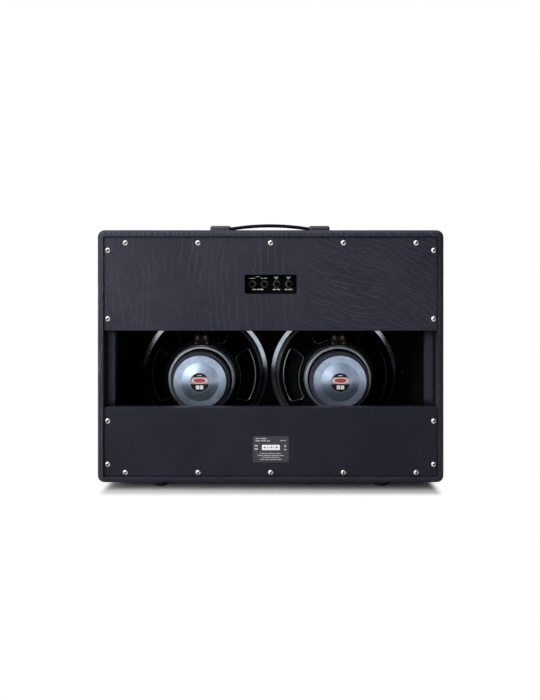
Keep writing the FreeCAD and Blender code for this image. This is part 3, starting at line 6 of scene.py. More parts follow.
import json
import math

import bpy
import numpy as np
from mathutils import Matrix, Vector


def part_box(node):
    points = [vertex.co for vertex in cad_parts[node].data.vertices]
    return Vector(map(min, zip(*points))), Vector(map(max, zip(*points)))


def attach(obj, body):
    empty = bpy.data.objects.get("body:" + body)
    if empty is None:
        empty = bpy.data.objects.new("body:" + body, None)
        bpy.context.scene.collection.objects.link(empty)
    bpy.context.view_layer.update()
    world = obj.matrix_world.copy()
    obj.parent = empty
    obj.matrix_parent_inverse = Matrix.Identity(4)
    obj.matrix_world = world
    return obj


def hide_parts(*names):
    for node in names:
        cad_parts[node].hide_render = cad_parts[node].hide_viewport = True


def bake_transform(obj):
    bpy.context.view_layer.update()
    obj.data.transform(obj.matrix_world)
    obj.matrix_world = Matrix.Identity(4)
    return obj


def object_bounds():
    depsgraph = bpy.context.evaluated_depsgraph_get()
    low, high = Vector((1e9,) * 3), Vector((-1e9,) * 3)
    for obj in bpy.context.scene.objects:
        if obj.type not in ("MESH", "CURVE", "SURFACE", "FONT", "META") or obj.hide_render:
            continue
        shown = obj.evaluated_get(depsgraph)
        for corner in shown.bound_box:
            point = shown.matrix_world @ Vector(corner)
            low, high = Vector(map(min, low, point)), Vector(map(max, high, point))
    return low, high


bl_info = {
    "name": "Speaker Cabinet Dressing",
    "version": (1, 0, 0),
    "blender": (4, 5, 0),
    "location": "View3D > Sidebar > Cabinet",
    "description": "Finishes, soft parts, prints and studio for an open-backed guitar speaker cabinet",
    "category": "Object",
}

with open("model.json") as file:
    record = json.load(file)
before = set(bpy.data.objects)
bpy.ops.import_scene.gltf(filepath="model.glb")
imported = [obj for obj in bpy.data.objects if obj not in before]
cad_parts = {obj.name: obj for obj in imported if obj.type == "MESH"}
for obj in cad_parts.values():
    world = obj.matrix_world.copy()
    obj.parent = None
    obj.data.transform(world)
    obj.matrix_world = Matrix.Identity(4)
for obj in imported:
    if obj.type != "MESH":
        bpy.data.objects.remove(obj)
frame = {"nodes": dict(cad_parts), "record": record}
CAD_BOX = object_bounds()

MM = 0.001
SLOT_OF = {part["node"]: part["material_slot"] for part in frame["record"]["subparts"]}

# Speakers: bodies by side, axis height and distance from the middle, and the front face of the rim
CONE_LOW, CONE_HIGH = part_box("right_cone")
AXIS_X = (CONE_LOW.x + CONE_HIGH.x) / 2
AXIS_Z = (CONE_LOW.z + CONE_HIGH.z) / 2
CONE_RADIUS = (CONE_HIGH.x - CONE_LOW.x) / 2
SEAT_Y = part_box("right_basket")[0].y
SIDES = {"left": -AXIS_X, "right": AXIS_X}

# Depths behind the front of the rim, and radii and heights about the axis, that no node's box gives
CONE_SLOPE = 0.511
SPIDER_NECK_RADIUS = 22.5 * MM
SPIDER_RIM_DEPTH = 77.7 * MM
SPIDER_NECK_DEPTH = 71.0 * MM
WALL_FOOT = (126.4 * MM, 24.9 * MM)
WALL_HEAD = (86.4 * MM, 78.2 * MM)
WALL_THICKNESS = 1.6 * MM
WINDOW_RADII = (89.0 * MM, 123.5 * MM)
WINDOW_HALF_ANGLE = math.radians(32.0)
WINDOW_CORNER = 8.0 * MM
WINDOW_COUNT = 4
TINSEL_HALF_SPACING = 5.0 * MM
TINSEL_START = (92.8 * MM, 96.5 * MM)
TINSEL_END = (34.1 * MM, 72.0 * MM)

# Shares of the way at which the tinsel leads turn: forward and inward
TINSEL_TURNS = [(0, 0), (0.28, 0), (0.55, 0.25), (0.8, 0.65), (1, 1)]

# Grille cloth in thicknesses: radius of its rolled edge, and how far its back lies inside and behind
CLOTH_ROLL = 2.0
CLOTH_INSIDE = 0.9
CLOTH_BEHIND = 0.765

# Exponents that square off the strap's round section, across and up
STRAP_SQUARENESS = (0.28, 0.55)

# Bright bands of a frame, metal partly standing in for highlights, the bend's band a painted highlight: outer
# and inner limits of the radius
PAN_BAND = ((70.2 * MM, 77.8 * MM), (71.0 * MM, 77.2 * MM))
BEND_BAND = ((133.5 * MM, 140.4 * MM), (134.5 * MM, 139.8 * MM))
RIM_BAND = ((141.8 * MM, 152.8 * MM), (143.2 * MM, 151.8 * MM))

# Fades of the bright plating, painted light and shade: heights on the rim, below which it dulls as painted
# shade; radii on the window lips, inside which their painted highlight dulls; and distances from the middle,
# beyond which the painted highlight dulls
RIM_PAINTED_SHADE = (185.0 * MM, 245.0 * MM)
LIP_PAINTED_HIGHLIGHT = (92.0 * MM, 102.0 * MM)
MIDDLE_PAINTED_HIGHLIGHT = (AXIS_X - 60.0 * MM, AXIS_X + 20.0 * MM)

# Vinyl face on a side batten, across and up, outside which the batten is black as painted shade along its
# outer edge and ends; and the floor of a screw's recess above the panel, dark as painted shade: like limits
BATTEN_ACROSS = ((317.6 * MM, 334.0 * MM), (319.2 * MM, 331.6 * MM))
BATTEN_UP = ((174.0 * MM, 324.0 * MM), (188.0 * MM, 316.0 * MM))
RECESS_PAINTED_SHADE = ((0.97 * MM, 1.11 * MM), (1.0 * MM, 1.08 * MM))

# Radii between which the painted shade of a jack's hole, black round the socket, gives way to its nut
JACK_HOLE_SHADE = (5.2 * MM, 5.6 * MM)

# Creases of the vinyl: direction that they lie across, number in a metre, and width as a share of a step
CREASES = {
    "upright": ((1.0, 0.8, 0.0), 66.0, 0.055),
    "dense upright": ((1.0, 0.8, 0.0), 110.0, 0.14),
    "slanting": ((-0.37, 0.5, 0.93), 105.0, 0.1),
    "steep": ((-0.57, 0.5, 0.82), 75.0, 0.08),
    "stroke": ((0.42, 0.5, 0.9), 170.0, 0.16),
}

# Places across between which the slanting creases end, and the tint of the vinyl's shine
SLANTING_SIDE = (-0.15, 0.0)
VINYL_TINT = (0.82, 0.84, 1.0, 1.0)

# Values between which most of a noise lies
NOISE_RANGE = (0.3, 0.7)

# Floor: its reach, its share of tone for unseen rays, and the reach, inset and narrowing of the shadow
FLOOR_REACH = 9.0
FLOOR_UNSEEN = 0.28
SHADOW_REACH = 26.0 * MM
SHADOW_INSET = 22.0 * MM
SHADOW_NARROWING = (1.3, 1.0, 1.0)

# White of the room and of the floor beyond the shadow
WHITE = (1.0, 1.0, 1.0, 1.0)

# Directions over which the room that shiny parts show turns to sky, upwards and across, and from dusk
SKY_RISE = (0.06, 0.25)
SKY_ACROSS = (-0.5, 0.1)
DUSK_END = (-0.1, 0.2)

# Softboxes by the name of their power: place, point aimed at, size, and whether they make highlights
SOFTBOXES = {
    "overhead": ((0.0, 0.35, 2.7), (0.0, 0.1, 0.0), 2.6, True),
    "key": ((1.15, 1.25, 1.2), (0.0, 0.1, 0.3), 2.3, True),
    "wash": ((1.4, 1.15, 1.15), (0.0, 0.1, 0.3), 1.4, False),
    "front": ((-0.9, -2.0, 1.3), (0.0, -0.1, 0.3), 1.6, False),
    "fill": ((-1.8, 2.2, 1.2), (0.0, 0.1, 0.28), 1.4, True),
}


# Properties

def colour(name, description, default):
    """Colour property with its label, tooltip and default."""
    return bpy.props.FloatVectorProperty(name=name, description=description, default=default,
                                         subtype="COLOR", size=3, min=0.0, max=1.0)


def length(name, description, default):
    """Length property in metres."""
    return bpy.props.FloatProperty(name=name, description=description, default=default,
                                   min=0.0, precision=5, subtype="DISTANCE", unit="LENGTH")


def share(name, description, default):
    """Plain number from 0 to 1."""
    return bpy.props.FloatProperty(name=name, description=description, default=default,
                                   min=0.0, max=1.0, subtype="FACTOR")


def power(name, description, default):
    """Power of a lamp in watts."""
    return bpy.props.FloatProperty(name=name, description=description, default=default,
                                   min=0.0, subtype="POWER", unit="POWER")


class CabinetColours(bpy.types.PropertyGroup):
    """Colours of the cabinet's finishes."""

    vinyl: colour("Vinyl", "Ground of the black vinyl covering", (0.0158, 0.0161, 0.0234))
    crease: colour("Crease", "Raised lines of the vinyl's grain", (0.039, 0.041, 0.053))
    paint: colour("Inside paint", "Black paint on the wood", (0.0032, 0.0032, 0.0036))
    nickel: colour("Nickel", "Plating of the panel screws", (0.66, 0.65, 0.645))
    zinc: colour("Zinc", "Plating of the speakers' steel", (0.45, 0.555, 0.72))
    # The basket tone also colours the frames' painted highlights
    basket: colour("Basket", "Bright plating of the frames' rims and pans", (0.42, 0.47, 0.53))
    ferrite: colour("Ferrite", "Ring magnets", (0.034, 0.03, 0.044))
    paper: colour("Paper", "Speaker cones and dust caps", (0.004, 0.004, 0.0045))
    edging: colour("Edging", "Treated cloth of surrounds and spiders", (0.022, 0.017, 0.012))
    copper: colour("Copper", "Voice coils and tinsel leads", (0.62, 0.38, 0.18))
    tin: colour("Tin", "Tinned tags and rivets", (0.075, 0.073, 0.071))
    phenolic: colour("Phenolic", "Terminal boards", (0.013, 0.007, 0.0035))
    cloth: colour("Grille cloth", "Threads of the grille cloth", (0.03, 0.03, 0.032))
    rubber: colour("Rubber", "Feet and wires", (0.013, 0.013, 0.0145))
    strap: colour("Strap", "Moulded strap of the handle", (0.0025, 0.0025, 0.003))
    plastic: colour("Plastic", "Handle caps and black screws", (0.013, 0.013, 0.0152))
    nut: colour("Jack nut", "Nuts of the jack sockets", (0.04, 0.04, 0.043))
    plate: colour("Jack plate", "Black enamel of the jack plate", (0.0028, 0.0028, 0.0032))
    label: colour("Label", "Ground of the labels", (0.03, 0.03, 0.039))
    ink: colour("Ink", "White print", (0.52, 0.52, 0.52))
    red_ink: colour("Red ink", "Red oval on the magnet labels", (0.42, 0.05, 0.06))
    silver_ink: colour("Silver ink", "Band on the magnet labels", (0.3, 0.29, 0.31))
    board: colour("Circuit board", "Board behind the jacks", (0.012, 0.06, 0.03))
    sleeve: colour("Sleeve", "Sleeves of the push-on connectors", (0.006, 0.004, 0.004))
    floor: colour("Floor", "Studio floor", (0.36, 0.36, 0.36))


class CabinetSizes(bpy.types.PropertyGroup):
    """Sizes of the soft parts and prints that stand on the frame."""

    strap_thickness: length("Strap thickness", "Thickness of the handle's strap", 6.6 * MM)
    strap_tongue: length("Strap tongue", "How far the strap reaches into an end cap", 13.0 * MM)
    strap_foot: length("Strap foot", "How far inside an end cap the strap's arch begins", 24.5 * MM)
    strap_foot_radius: length("Strap foot radius", "Bend with which the strap's arch begins", 50.0 * MM)
    cloth_thickness: length("Cloth thickness", "Thickness of the grille cloth", 0.8 * MM)
    cloth_turn: length("Cloth turn-in", "Cloth turned back along the grille frame's edge", 11.0 * MM)
    skin: length("Edge thickness", "Thickness of surround and spider cloth", 0.5 * MM)
    surround_land: length("Surround land", "Flat ring glued to the rim", 4.0 * MM)
    surround_skirt: length("Surround skirt", "Ring glued to the cone", 6.0 * MM)
    surround_wave: length("Surround wave", "Height of the surround's waves", 1.2 * MM)
    spider_land: length("Spider land", "Flat rings at the spider's edges", 5.0 * MM)
    spider_wave: length("Spider wave", "Height of the spider's waves", 1.7 * MM)
    lip_diameter: length("Window lip", "Thickness of the rolled edge round a frame window", 2.4 * MM)
    tinsel_diameter: length("Tinsel diameter", "Thickness of a tinsel lead", 1.8 * MM)
    ink_height: length("Ink height", "Thickness of the printed ink", 0.05 * MM)


class CabinetStudio(bpy.types.PropertyGroup):
    """Camera and lights."""

    eye_distance: length("Eye distance", "Camera's distance behind the middle of the cabinet", 1.378)
    eye_offset: length("Eye offset", "Camera's distance to the side of the middle", 15.1 * MM)
    eye_height: length("Eye height", "Camera's height above the floor", 0.4527)
    lens: bpy.props.FloatProperty(name="Lens", description="Focal length on a 36 mm frame", default=31.22,
                                  min=1.0, subtype="DISTANCE_CAMERA", unit="CAMERA")
    shift_x: bpy.props.FloatProperty(name="Shift across", description="Lens shift across", default=0.00966)
    shift_y: bpy.props.FloatProperty(name="Shift up", description="Lens shift up", default=-0.1171)
    ambient: share("Ambient", "Strength of the light from all round", 0.05)
    dusk: share("Dusk", "Strength of the room beyond the object, as shiny parts show it", 0.1)
    room: share("Room", "Strength of the room behind the camera, as shiny parts show it", 0.16)
    sky: share("Sky", "Strength of the upper room behind the camera, as shiny parts show it", 0.7)
    overhead: power("Overhead", "Power of the overhead softbox", 48.0)
    key: power("Key", "Power of the softbox at the upper left", 40.0)
    wash: power("Wash", "Power of the scrimmed softbox beside the key", 62.0)
    front: power("Front", "Power of the scrimmed softbox on the grille's side", 60.0)
    fill: power("Fill", "Power of the softbox at the right", 2.0)


# Finishes

def rgba(tone, factor=1.0):
    """Colour times a factor, with full cover."""
    return tuple(min(1.0, part * factor) for part in tone) + (1.0,)


class Nodes:
    """A node tree in the making: each method adds a node, feeds its sockets and hands back its output."""

    def __init__(self, tree):
        self.tree = tree

    def feed(self, node, feeds):
        for socket, value in feeds.items():
            if isinstance(value, bpy.types.NodeSocket):
                self.tree.links.new(value, node.inputs[socket])
            else:
                node.inputs[socket].default_value = value

    def add(self, kind, feeds, **settings):
        node = self.tree.nodes.new(kind)
        for setting, value in settings.items():
            setattr(node, setting, value)
        self.feed(node, feeds)
        return node

    def math(self, operation, *values):
        return self.add("ShaderNodeMath", dict(enumerate(values)), operation=operation).outputs[0]

    def times(self, first, last):
        return self.math("MULTIPLY", first, last)

    def distance(self, across, up):
        return self.math("SQRT", self.math("MULTIPLY_ADD", across, across, self.times(up, up)))

    def vector(self, operation, *values):
        return self.add("ShaderNodeVectorMath", dict(enumerate(values)), operation=operation).outputs[0]

    def ramp(self, value, low, high, first=0.0, last=1.0):
        feeds = {"Value": value, "From Min": low, "From Max": high, "To Min": first, "To Max": last}
        return self.add("ShaderNodeMapRange", feeds, interpolation_type="SMOOTHSTEP").outputs["Result"]

    def band(self, value, outer, inner):
        """Share of 1 between the inner limits of a value, falling to 0 at the outer ones."""
        rise = self.ramp(value, outer[0], inner[0])
        return self.times(rise, self.ramp(value, inner[1], outer[1], 1.0, 0.0))

    def seen(self):
        """Share of 1 for camera, glossy and transmission rays and 0 for the rest."""
        path = self.add("ShaderNodeLightPath", {}).outputs
        shown = self.math("MAXIMUM", path["Is Glossy Ray"], path["Is Transmission Ray"])
        return self.math("MAXIMUM", path["Is Camera Ray"], shown)


class Finish(Nodes):
    """A material in the making."""

    def __init__(self, name):
        self.material = bpy.data.materials.new(name)
        self.material.use_nodes = True
        super().__init__(self.material.node_tree)
        self.shader = self.tree.nodes["Principled BSDF"]
        self.place = self.add("ShaderNodeTexCoord", {}).outputs["Object"]

    def axes(self):
        return self.add("ShaderNodeSeparateXYZ", {0: self.place}).outputs

    def stretched(self, scale):
        """Place scaled along each axis."""
        return self.vector("MULTIPLY", self.place, scale)

    def noise(self, scale, detail=2.0, place=None):
        feeds = {"Vector": self.place if place is None else place, "Scale": scale, "Detail": detail}
        return self.add("ShaderNodeTexNoise", feeds).outputs["Fac"]

    def line_noise(self, value, scale, detail=2.0):
        feeds = {"W": value, "Scale": scale, "Detail": detail}
        return self.add("ShaderNodeTexNoise", feeds, noise_dimensions="1D").outputs["Fac"]

    def cell_edges(self, feeds, dimensions, width):
        """Thin lines along the edges of scattered cells."""
        cells = self.add("ShaderNodeTexVoronoi", {**feeds, "Scale": 1.0}, voronoi_dimensions=dimensions,
                         feature="DISTANCE_TO_EDGE")
        return self.ramp(cells.outputs["Distance"], 0.0, width, 1.0, 0.0)

    def creases(self, direction, scale, width, sway):
        """Thin lines of one width across a direction, unevenly spaced and swayed."""
        along = self.add("ShaderNodeVectorMath", {0: self.place, 1: direction}, operation="DOT_PRODUCT")
        value = self.times(self.math("ADD", along.outputs["Value"], sway), scale)
        return self.cell_edges({"W": value}, "1D", width)

    def mixed(self, amount, first, last):
        return self.add("ShaderNodeMix", {0: amount, 6: first, 7: last}, data_type="RGBA").outputs[2]

    def radius(self):
        """Distance from the nearer speaker's axis."""
        x, _, z = self.axes()
        across = self.math("SUBTRACT", self.math("ABSOLUTE", x), AXIS_X)
        return self.distance(across, self.math("SUBTRACT", z, AXIS_Z))

    def spoke(self):
        """Direction from the nearer speaker's axis, along which turned rings spread a highlight."""
        x, _, z = self.axes()
        across = self.math("SUBTRACT", x, self.times(self.math("SIGN", x), AXIS_X))
        feeds = {"X": across, "Z": self.math("SUBTRACT", z, AXIS_Z)}
        return self.vector("NORMALIZE", self.add("ShaderNodeCombineXYZ", feeds).outputs[0])

    def toward_middle(self, least):
        """Share of 1 on the half of a speaker next to the cabinet's middle, falling to a least share."""
        return self.ramp(self.math("ABSOLUTE", self.axes()[0]), *MIDDLE_PAINTED_HIGHLIGHT, 1.0, least)

    def clouded(self, tone, scale, detail, darkest, palest):
        """Tone that drifts between two shares of itself by a cloudy noise."""
        drift = self.ramp(self.noise(scale, detail), *NOISE_RANGE)
        return self.mixed(drift, rgba(tone, darkest), rgba(tone, palest))

    def surface(self, tone, rough, metal=0.0, sheen=0.5):
        self.feed(self.shader, {"Base Color": tone, "Roughness": rough, "Metallic": metal,
                                "Specular IOR Level": sheen})

    def emboss(self, height, depth, strength=1.0):
        bump = self.add("ShaderNodeBump", {"Height": height, "Distance": depth, "Strength": strength})
        self.feed(self.shader, {"Normal": bump.outputs[0]})

    def worn(self, tone, roughs, grain, depth, metal=0.0, sheen=0.5, stretch=(1.0, 1.0, 1.0)):
        """Surface whose roughness, between two limits, and relief follow one fine noise."""
        fine = self.noise(grain, 4.0, self.stretched(stretch))
        self.surface(tone, self.ramp(fine, *NOISE_RANGE, *roughs), metal, sheen)
        self.emboss(fine, depth)
        return self.material


def grained(name, tone, rough, grain, depth, metal=0.0, sheen=0.5, spread=0.2, stretch=(1.0, 1.0, 1.0)):
    """Finish whose tone follows a cloudy noise and whose gloss and relief follow a finer one."""
    finish = Finish(name)
    toned = finish.clouded(tone, grain * 0.08, 3.0, 1 - spread, 1 + spread)
    roughs = (rough * 0.85, min(1.0, rough * 1.15))
    return finish.worn(toned, roughs, grain, depth, metal, sheen, stretch)


def creased_vinyl(name, tones, crease_share, painted_light_share, dense=False, shaded_edges=False):
    """Pressed vinyl: thin creases that wander upright, slanting ones on the left side, and short strokes.

    A crease lies wherever a place, measured along a direction and swayed by cloudy noise, crosses one of
    many unevenly spaced steps; noise also breaks the creases into runs.
    """
    finish = Finish(name)
    broad = finish.times(finish.noise(6.0), 0.1)
    sway = finish.math("MULTIPLY_ADD", broad, 0.5, finish.times(finish.noise(30.0), 0.014))
    upright = finish.creases(*CREASES["dense upright" if dense else "upright"], sway)
    slanting = finish.creases(*CREASES["slanting"], broad)
    steep = finish.creases(*CREASES["steep"], sway)
    strokes = finish.creases(*CREASES["stroke"], broad)
    side = finish.ramp(finish.axes()[0], *SLANTING_SIDE, 1.0, 0.0)
    patches = finish.noise(26.0, place=finish.stretched((1.0, 1.0, 0.45)))
    specks = finish.noise(52.0)
    runs = finish.ramp(patches, 0.3, 0.5) if dense else finish.ramp(patches, 0.4, 0.6, 0.0, 0.9)
    leaning = finish.math("MAXIMUM", finish.times(slanting, finish.ramp(specks, 0.42, 0.58)),
                          finish.times(steep, finish.ramp(specks, 0.45, 0.6, 0.7, 0.0)))
    standing = finish.times(upright, finish.math("SUBTRACT", runs, 0.0 if dense else side))
    short = finish.times(strokes, finish.ramp(specks, 0.48, 0.66, 0.0, 0.4))
    slanted = finish.math("MAXIMUM", finish.times(leaning, side), short)
    lines = finish.times(crease_share, finish.math("MAXIMUM", standing, slanted))
    speckle = finish.math("MULTIPLY_ADD", finish.noise(9.0, 3.0), 0.5, finish.times(finish.noise(330.0), 0.5))
    # The tone share scales the vinyl's tone, creases and shine as painted light: below 1 it is painted shade,
    # above 1 painted light
    ground = finish.mixed(finish.ramp(speckle, 0.36, 0.64), rgba(tones.vinyl, 0.84 * painted_light_share),
                          rgba(tones.vinyl, 1.16 * painted_light_share))
    pebble = finish.noise(1100.0, 3.0)
    if shaded_edges:
        # Painted shade: outside its vinyl face, along its outer edge and at its ends, the batten takes the
        # black of the inside paint
        across = finish.math("ABSOLUTE", finish.axes()[0])
        face = finish.times(finish.band(across, *BATTEN_ACROSS), finish.band(finish.axes()[2], *BATTEN_UP))
        ground = finish.mixed(face, rgba(tones.paint), ground)
    finish.surface(finish.mixed(lines, ground, rgba(tones.crease, painted_light_share)),
                   finish.ramp(pebble, *NOISE_RANGE, 0.38, 0.5), 0.0, 0.13 * painted_light_share)
    finish.feed(finish.shader, {"Specular Tint": VINYL_TINT})
    finish.emboss(finish.math("MULTIPLY_ADD", lines, 1.5, pebble), 0.0002, 0.8)
    return finish.material


def recessed_nickel(name, tone):
    """Bright plating, blackened on the flat floors of the panel screws' cross recesses."""
    finish = Finish(name)
    height = finish.math("SUBTRACT", finish.axes()[1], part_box("rating_label")[0].y)
    toned = finish.mixed(finish.band(height, *RECESS_PAINTED_SHADE), rgba(tone), rgba(tone, 0.02))
    return finish.worn(toned, (0.2, 0.28), 900.0, 0.00001, metal=1.0)


def pressed_frame(name, tones):
    """Speaker frame in black enamel: bright plating on the pan's edge and on the rim, duller lower down."""
    finish = Finish(name)
    radius = finish.radius()
    pan, bend, rim = (finish.band(radius, *limits) for limits in (PAN_BAND, BEND_BAND, RIM_BAND))
    # Painted highlight on the bend towards the middle, and painted shade that dulls the bend and the rim
    # below the axis
    outer = finish.math("MULTIPLY_ADD", bend, finish.times(finish.toward_middle(0.0), 0.6), rim)
    bright = finish.math("MULTIPLY_ADD", outer, finish.ramp(finish.axes()[2], *RIM_PAINTED_SHADE, 0.12, 1.0), pan)
    fine = finish.noise(500.0, 4.0)
    plated = finish.clouded(tones.basket, 45.0, 3.0, 0.9, 1.1)
    rough = finish.math("MULTIPLY_ADD", pan, 0.36, finish.ramp(fine, *NOISE_RANGE, 0.1, 0.16))
    finish.surface(finish.mixed(bright, rgba(tones.plate), plated), rough, bright, 0.03)
    finish.emboss(finish.times(fine, rim), 0.000015)
    return finish.material


def rolled_edge(name, tones):
    """Edges of the frames' windows: worn bright towards the middle of the cabinet, enamelled elsewhere."""
    finish = Finish(name)
    outer = finish.ramp(finish.radius(), *LIP_PAINTED_HIGHLIGHT, 0.2, 1.0)
    bright = finish.times(finish.toward_middle(0.12), outer)
    toned = finish.mixed(bright, rgba(tones.plate), rgba(tones.basket, 1.7))
    return finish.worn(toned, (0.34, 0.44), 600.0, 0.00001, bright, 0.1)


def ringed_jack(name, tone):
    """Jack sockets: grey plastic nuts, black inside the round bush of each, by the distance to its axis."""
    finish = Finish(name)
    low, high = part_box("jack_nuts")
    pitch = (high.x - low.x - (high.z - low.z)) / 3
    x, _, z = finish.axes()
    across = finish.math("PINGPONG", finish.math("ADD", x, 1.5 * pitch), pitch / 2)
    up = finish.math("SUBTRACT", z, (low.z + high.z) / 2)
    nut = finish.ramp(finish.distance(across, up), *JACK_HOLE_SHADE)
    toned = finish.mixed(nut, rgba(tone, 0.02), rgba(tone))
    return finish.worn(toned, (0.5, 0.6), 900.0, 0.00002, sheen=0.06)


def turned_steel(name, tone, rough):
    """Plated steel with a cloudy bloom and turned rings, a noise of the distance to the speaker's axis."""
    finish = Finish(name)
    rings = finish.line_noise(finish.radius(), 1500.0, 3.0)
    toned = finish.clouded(tone, 70.0, 5.0, 0.86, 1.1)
    finish.surface(toned, finish.ramp(rings, 0.25, 0.75, rough * 0.8, rough * 1.2), 0.96)
    finish.feed(finish.shader, {"Anisotropic": 0.35, "Tangent": finish.spoke()})
    finish.emboss(rings, 0.00002)
    return finish.material


def woven(name, tone, thread, sheen):
    """Plain weave: two sets of ridged threads, sines of x and of z, that rise over one another by turns."""
    finish = Finish(name)
    x, _, z = finish.axes()
    turns = math.pi / thread
    warp = finish.math("SINE", finish.times(x, turns))
    weft = finish.math("SINE", finish.times(z, turns))
    over = finish.ramp(finish.times(warp, weft), -0.4, 0.4)
    upper = finish.times(finish.math("ABSOLUTE", warp), over)
    lower = finish.times(finish.math("ABSOLUTE", weft), finish.math("SUBTRACT", 1.0, over))
    height = finish.math("MAXIMUM", upper, lower)
    fibre = finish.noise(1.6 / thread, 3.0)
    # Painted shade of the weave: raised threads paler, the hollows between them darker
    lit = finish.times(height, finish.ramp(fibre, 0.25, 0.75, 0.6, 1.2))
    finish.surface(finish.mixed(lit, rgba(tone, 0.25), rgba(tone, 1.25)), 0.85, 0.0, sheen)
    finish.emboss(height, thread * 0.3)
    return finish.material


def wound(name, tone, pitch):
    """Wire laid in close turns along Y: a sine of y for the relief, metal for the shine."""
    finish = Finish(name)
    _, y, _ = finish.axes()
    turns = finish.math("SINE", finish.times(y, 2 * math.pi / pitch))
    toned = finish.mixed(finish.ramp(turns, -1.0, 1.0), rgba(tone, 0.6), rgba(tone, 1.1))
    finish.surface(toned, finish.ramp(finish.noise(900.0), *NOISE_RANGE, 0.28, 0.42), 1.0)
    finish.emboss(turns, pitch * 0.3)
    return finish.material


def tracked_board(name, tone):
    """Circuit board: solder mask with paler copper tracks along the edges of wide cells."""
    finish = Finish(name)
    tracks = finish.cell_edges({"Vector": finish.stretched((160.0, 1.0, 220.0))}, "3D", 0.12)
    toned = finish.mixed(tracks, rgba(tone), rgba(tone, 2.6))
    finish.surface(toned, finish.ramp(tracks, 0.0, 1.0, 0.3, 0.45))
    finish.emboss(tracks, 0.00004)
    return finish.material


def slot_finishes(tones):
    """Finish of every material slot in the record."""
    return {
        "black_painted_wood": grained("painted_wood", tones.paint, 0.75, 260.0, 0.00012, sheen=0.04,
                                      spread=0.3, stretch=(0.08, 1.0, 1.0)),
        "black_vinyl": creased_vinyl("creased_vinyl", tones, crease_share=1.0, painted_light_share=1.0),
        # Batten vinyl a little paler as painted light, with painted shade along its edges
        "vinyl_covered_wood": creased_vinyl("batten_vinyl", tones, crease_share=0.25, painted_light_share=1.05,
                                            shaded_edges=True),
        "nickel_screws": recessed_nickel("nickel_plate", tones.nickel),
        "black_screws": grained("black_oxide", tones.plastic, 0.45, 900.0, 0.00002, 0.4),
        "zinc_steel": turned_steel("turned_zinc", tones.zinc, 0.37),
        "ferrite": grained("ferrite_ring", tones.ferrite, 0.5, 700.0, 0.00006, sheen=0.4, spread=0.3),
        "basket_paint": pressed_frame("basket_enamel", tones),
        "cone_paper": grained("cone_paper", tones.paper, 0.9, 420.0, 0.0001, sheen=0.1, spread=0.35),
        "treated_cloth": woven("treated_cloth", tones.edging, 0.9 * MM, 0.2),
        "voice_coil_metal": wound("coil_winding", tones.copper, 0.3 * MM),
        "tinsel": wound("tinsel_braid", tones.copper, 1.1 * MM),
        "phenolic_board": grained("phenolic", tones.phenolic, 0.6, 500.0, 0.00004, sheen=0.08,
                                  stretch=(0.1, 1.0, 1.0)),
        "tinned_brass": grained("tinned_brass", tones.tin, 0.5, 800.0, 0.00002, 1.0, spread=0.1),
        "gasket_card": grained("gasket_card", tones.edging, 0.95, 380.0, 0.00012, sheen=0.1),
        "magnet_label": grained("magnet_label", tones.plate, 0.4, 900.0, 0.00001, sheen=0.3),
        "rating_label": grained("rating_label", tones.label, 0.5, 900.0, 0.00001, sheen=0.25, spread=0.08),
        "grille_cloth": woven("grille_weave", tones.cloth, 1.3 * MM, 0.15),
        "foot_rubber": grained("foot_rubber", tones.rubber, 0.7, 600.0, 0.00006, sheen=0.3),
        "strap_vinyl": grained("strap_vinyl", tones.strap, 0.5, 900.0, 0.00008, sheen=0.1),
        "cap_plastic": grained("cap_plastic", tones.plastic, 0.42, 1200.0, 0.00005, sheen=0.5),
        "jack_plate_paint": grained("plate_enamel", tones.plate, 0.6, 800.0, 0.00002, sheen=0.0),
        "jack_plastic": ringed_jack("jack_plastic", tones.nut),
        "circuit_board": tracked_board("circuit_board", tones.board),
        "sleeve_plastic": grained("sleeve_plastic", tones.sleeve, 0.7, 700.0, 0.00003, sheen=0.03),
        "wire_insulation": grained("wire_insulation", tones.rubber, 0.45, 700.0, 0.00003,
                                   stretch=(1.0, 0.1, 0.1)),
    }


def finish_of(slot):
    """Material already made for a slot of the record."""
    return bpy.data.materials[bpy.context.scene["cabinet_finishes"][slot]]


def dress(nodes, material=None):
    """Puts a material, or that of their own slot, on CAD nodes through their material slots."""
    for node in nodes:
        for slot in frame["nodes"][node].material_slots:
            slot.material = material or finish_of(SLOT_OF[node])


# Surfaces

def grid_faces(rows, columns, closed):
    """Corner numbers of a grid's four-sided faces: columns join last to first, and rows too where closed."""
    a, b = np.meshgrid(np.arange(rows if closed else rows - 1), np.arange(columns), indexing="ij")
    c, d = (a + 1) % rows, (b + 1) % columns
    corners = [a * columns + b, c * columns + b, c * columns + d, a * columns + d]
    return np.stack(corners, axis=-1).reshape(-1, 4)


def shell(rings, closed=False):
    """Points and faces of a closed skin over rings of points, shaped (rings, points, 3).

    Its ends are capped, or its last ring joins its first. The faces are turned so that the signed volume,
    the sum of a . (b x c) / 6 over the triangles, is above zero: then they all point outwards.
    """
    rows, columns, _ = rings.shape
    points = rings.reshape(-1, 3)
    faces = grid_faces(rows, columns, closed).tolist()
    if not closed:
        faces += [list(range(columns)), list(range((rows - 1) * columns, rows * columns))[::-1]]
    fans = np.array([(face[0], face[n], face[n + 1]) for face in faces for n in range(1, len(face) - 1)])
    a, b, c = (points[fans[:, n]] for n in range(3))
    if np.einsum("ij,ij->", a - points.mean(0), np.cross(b - points.mean(0), c - points.mean(0))) < 0:
        faces = [face[::-1] for face in faces]
    return points, faces


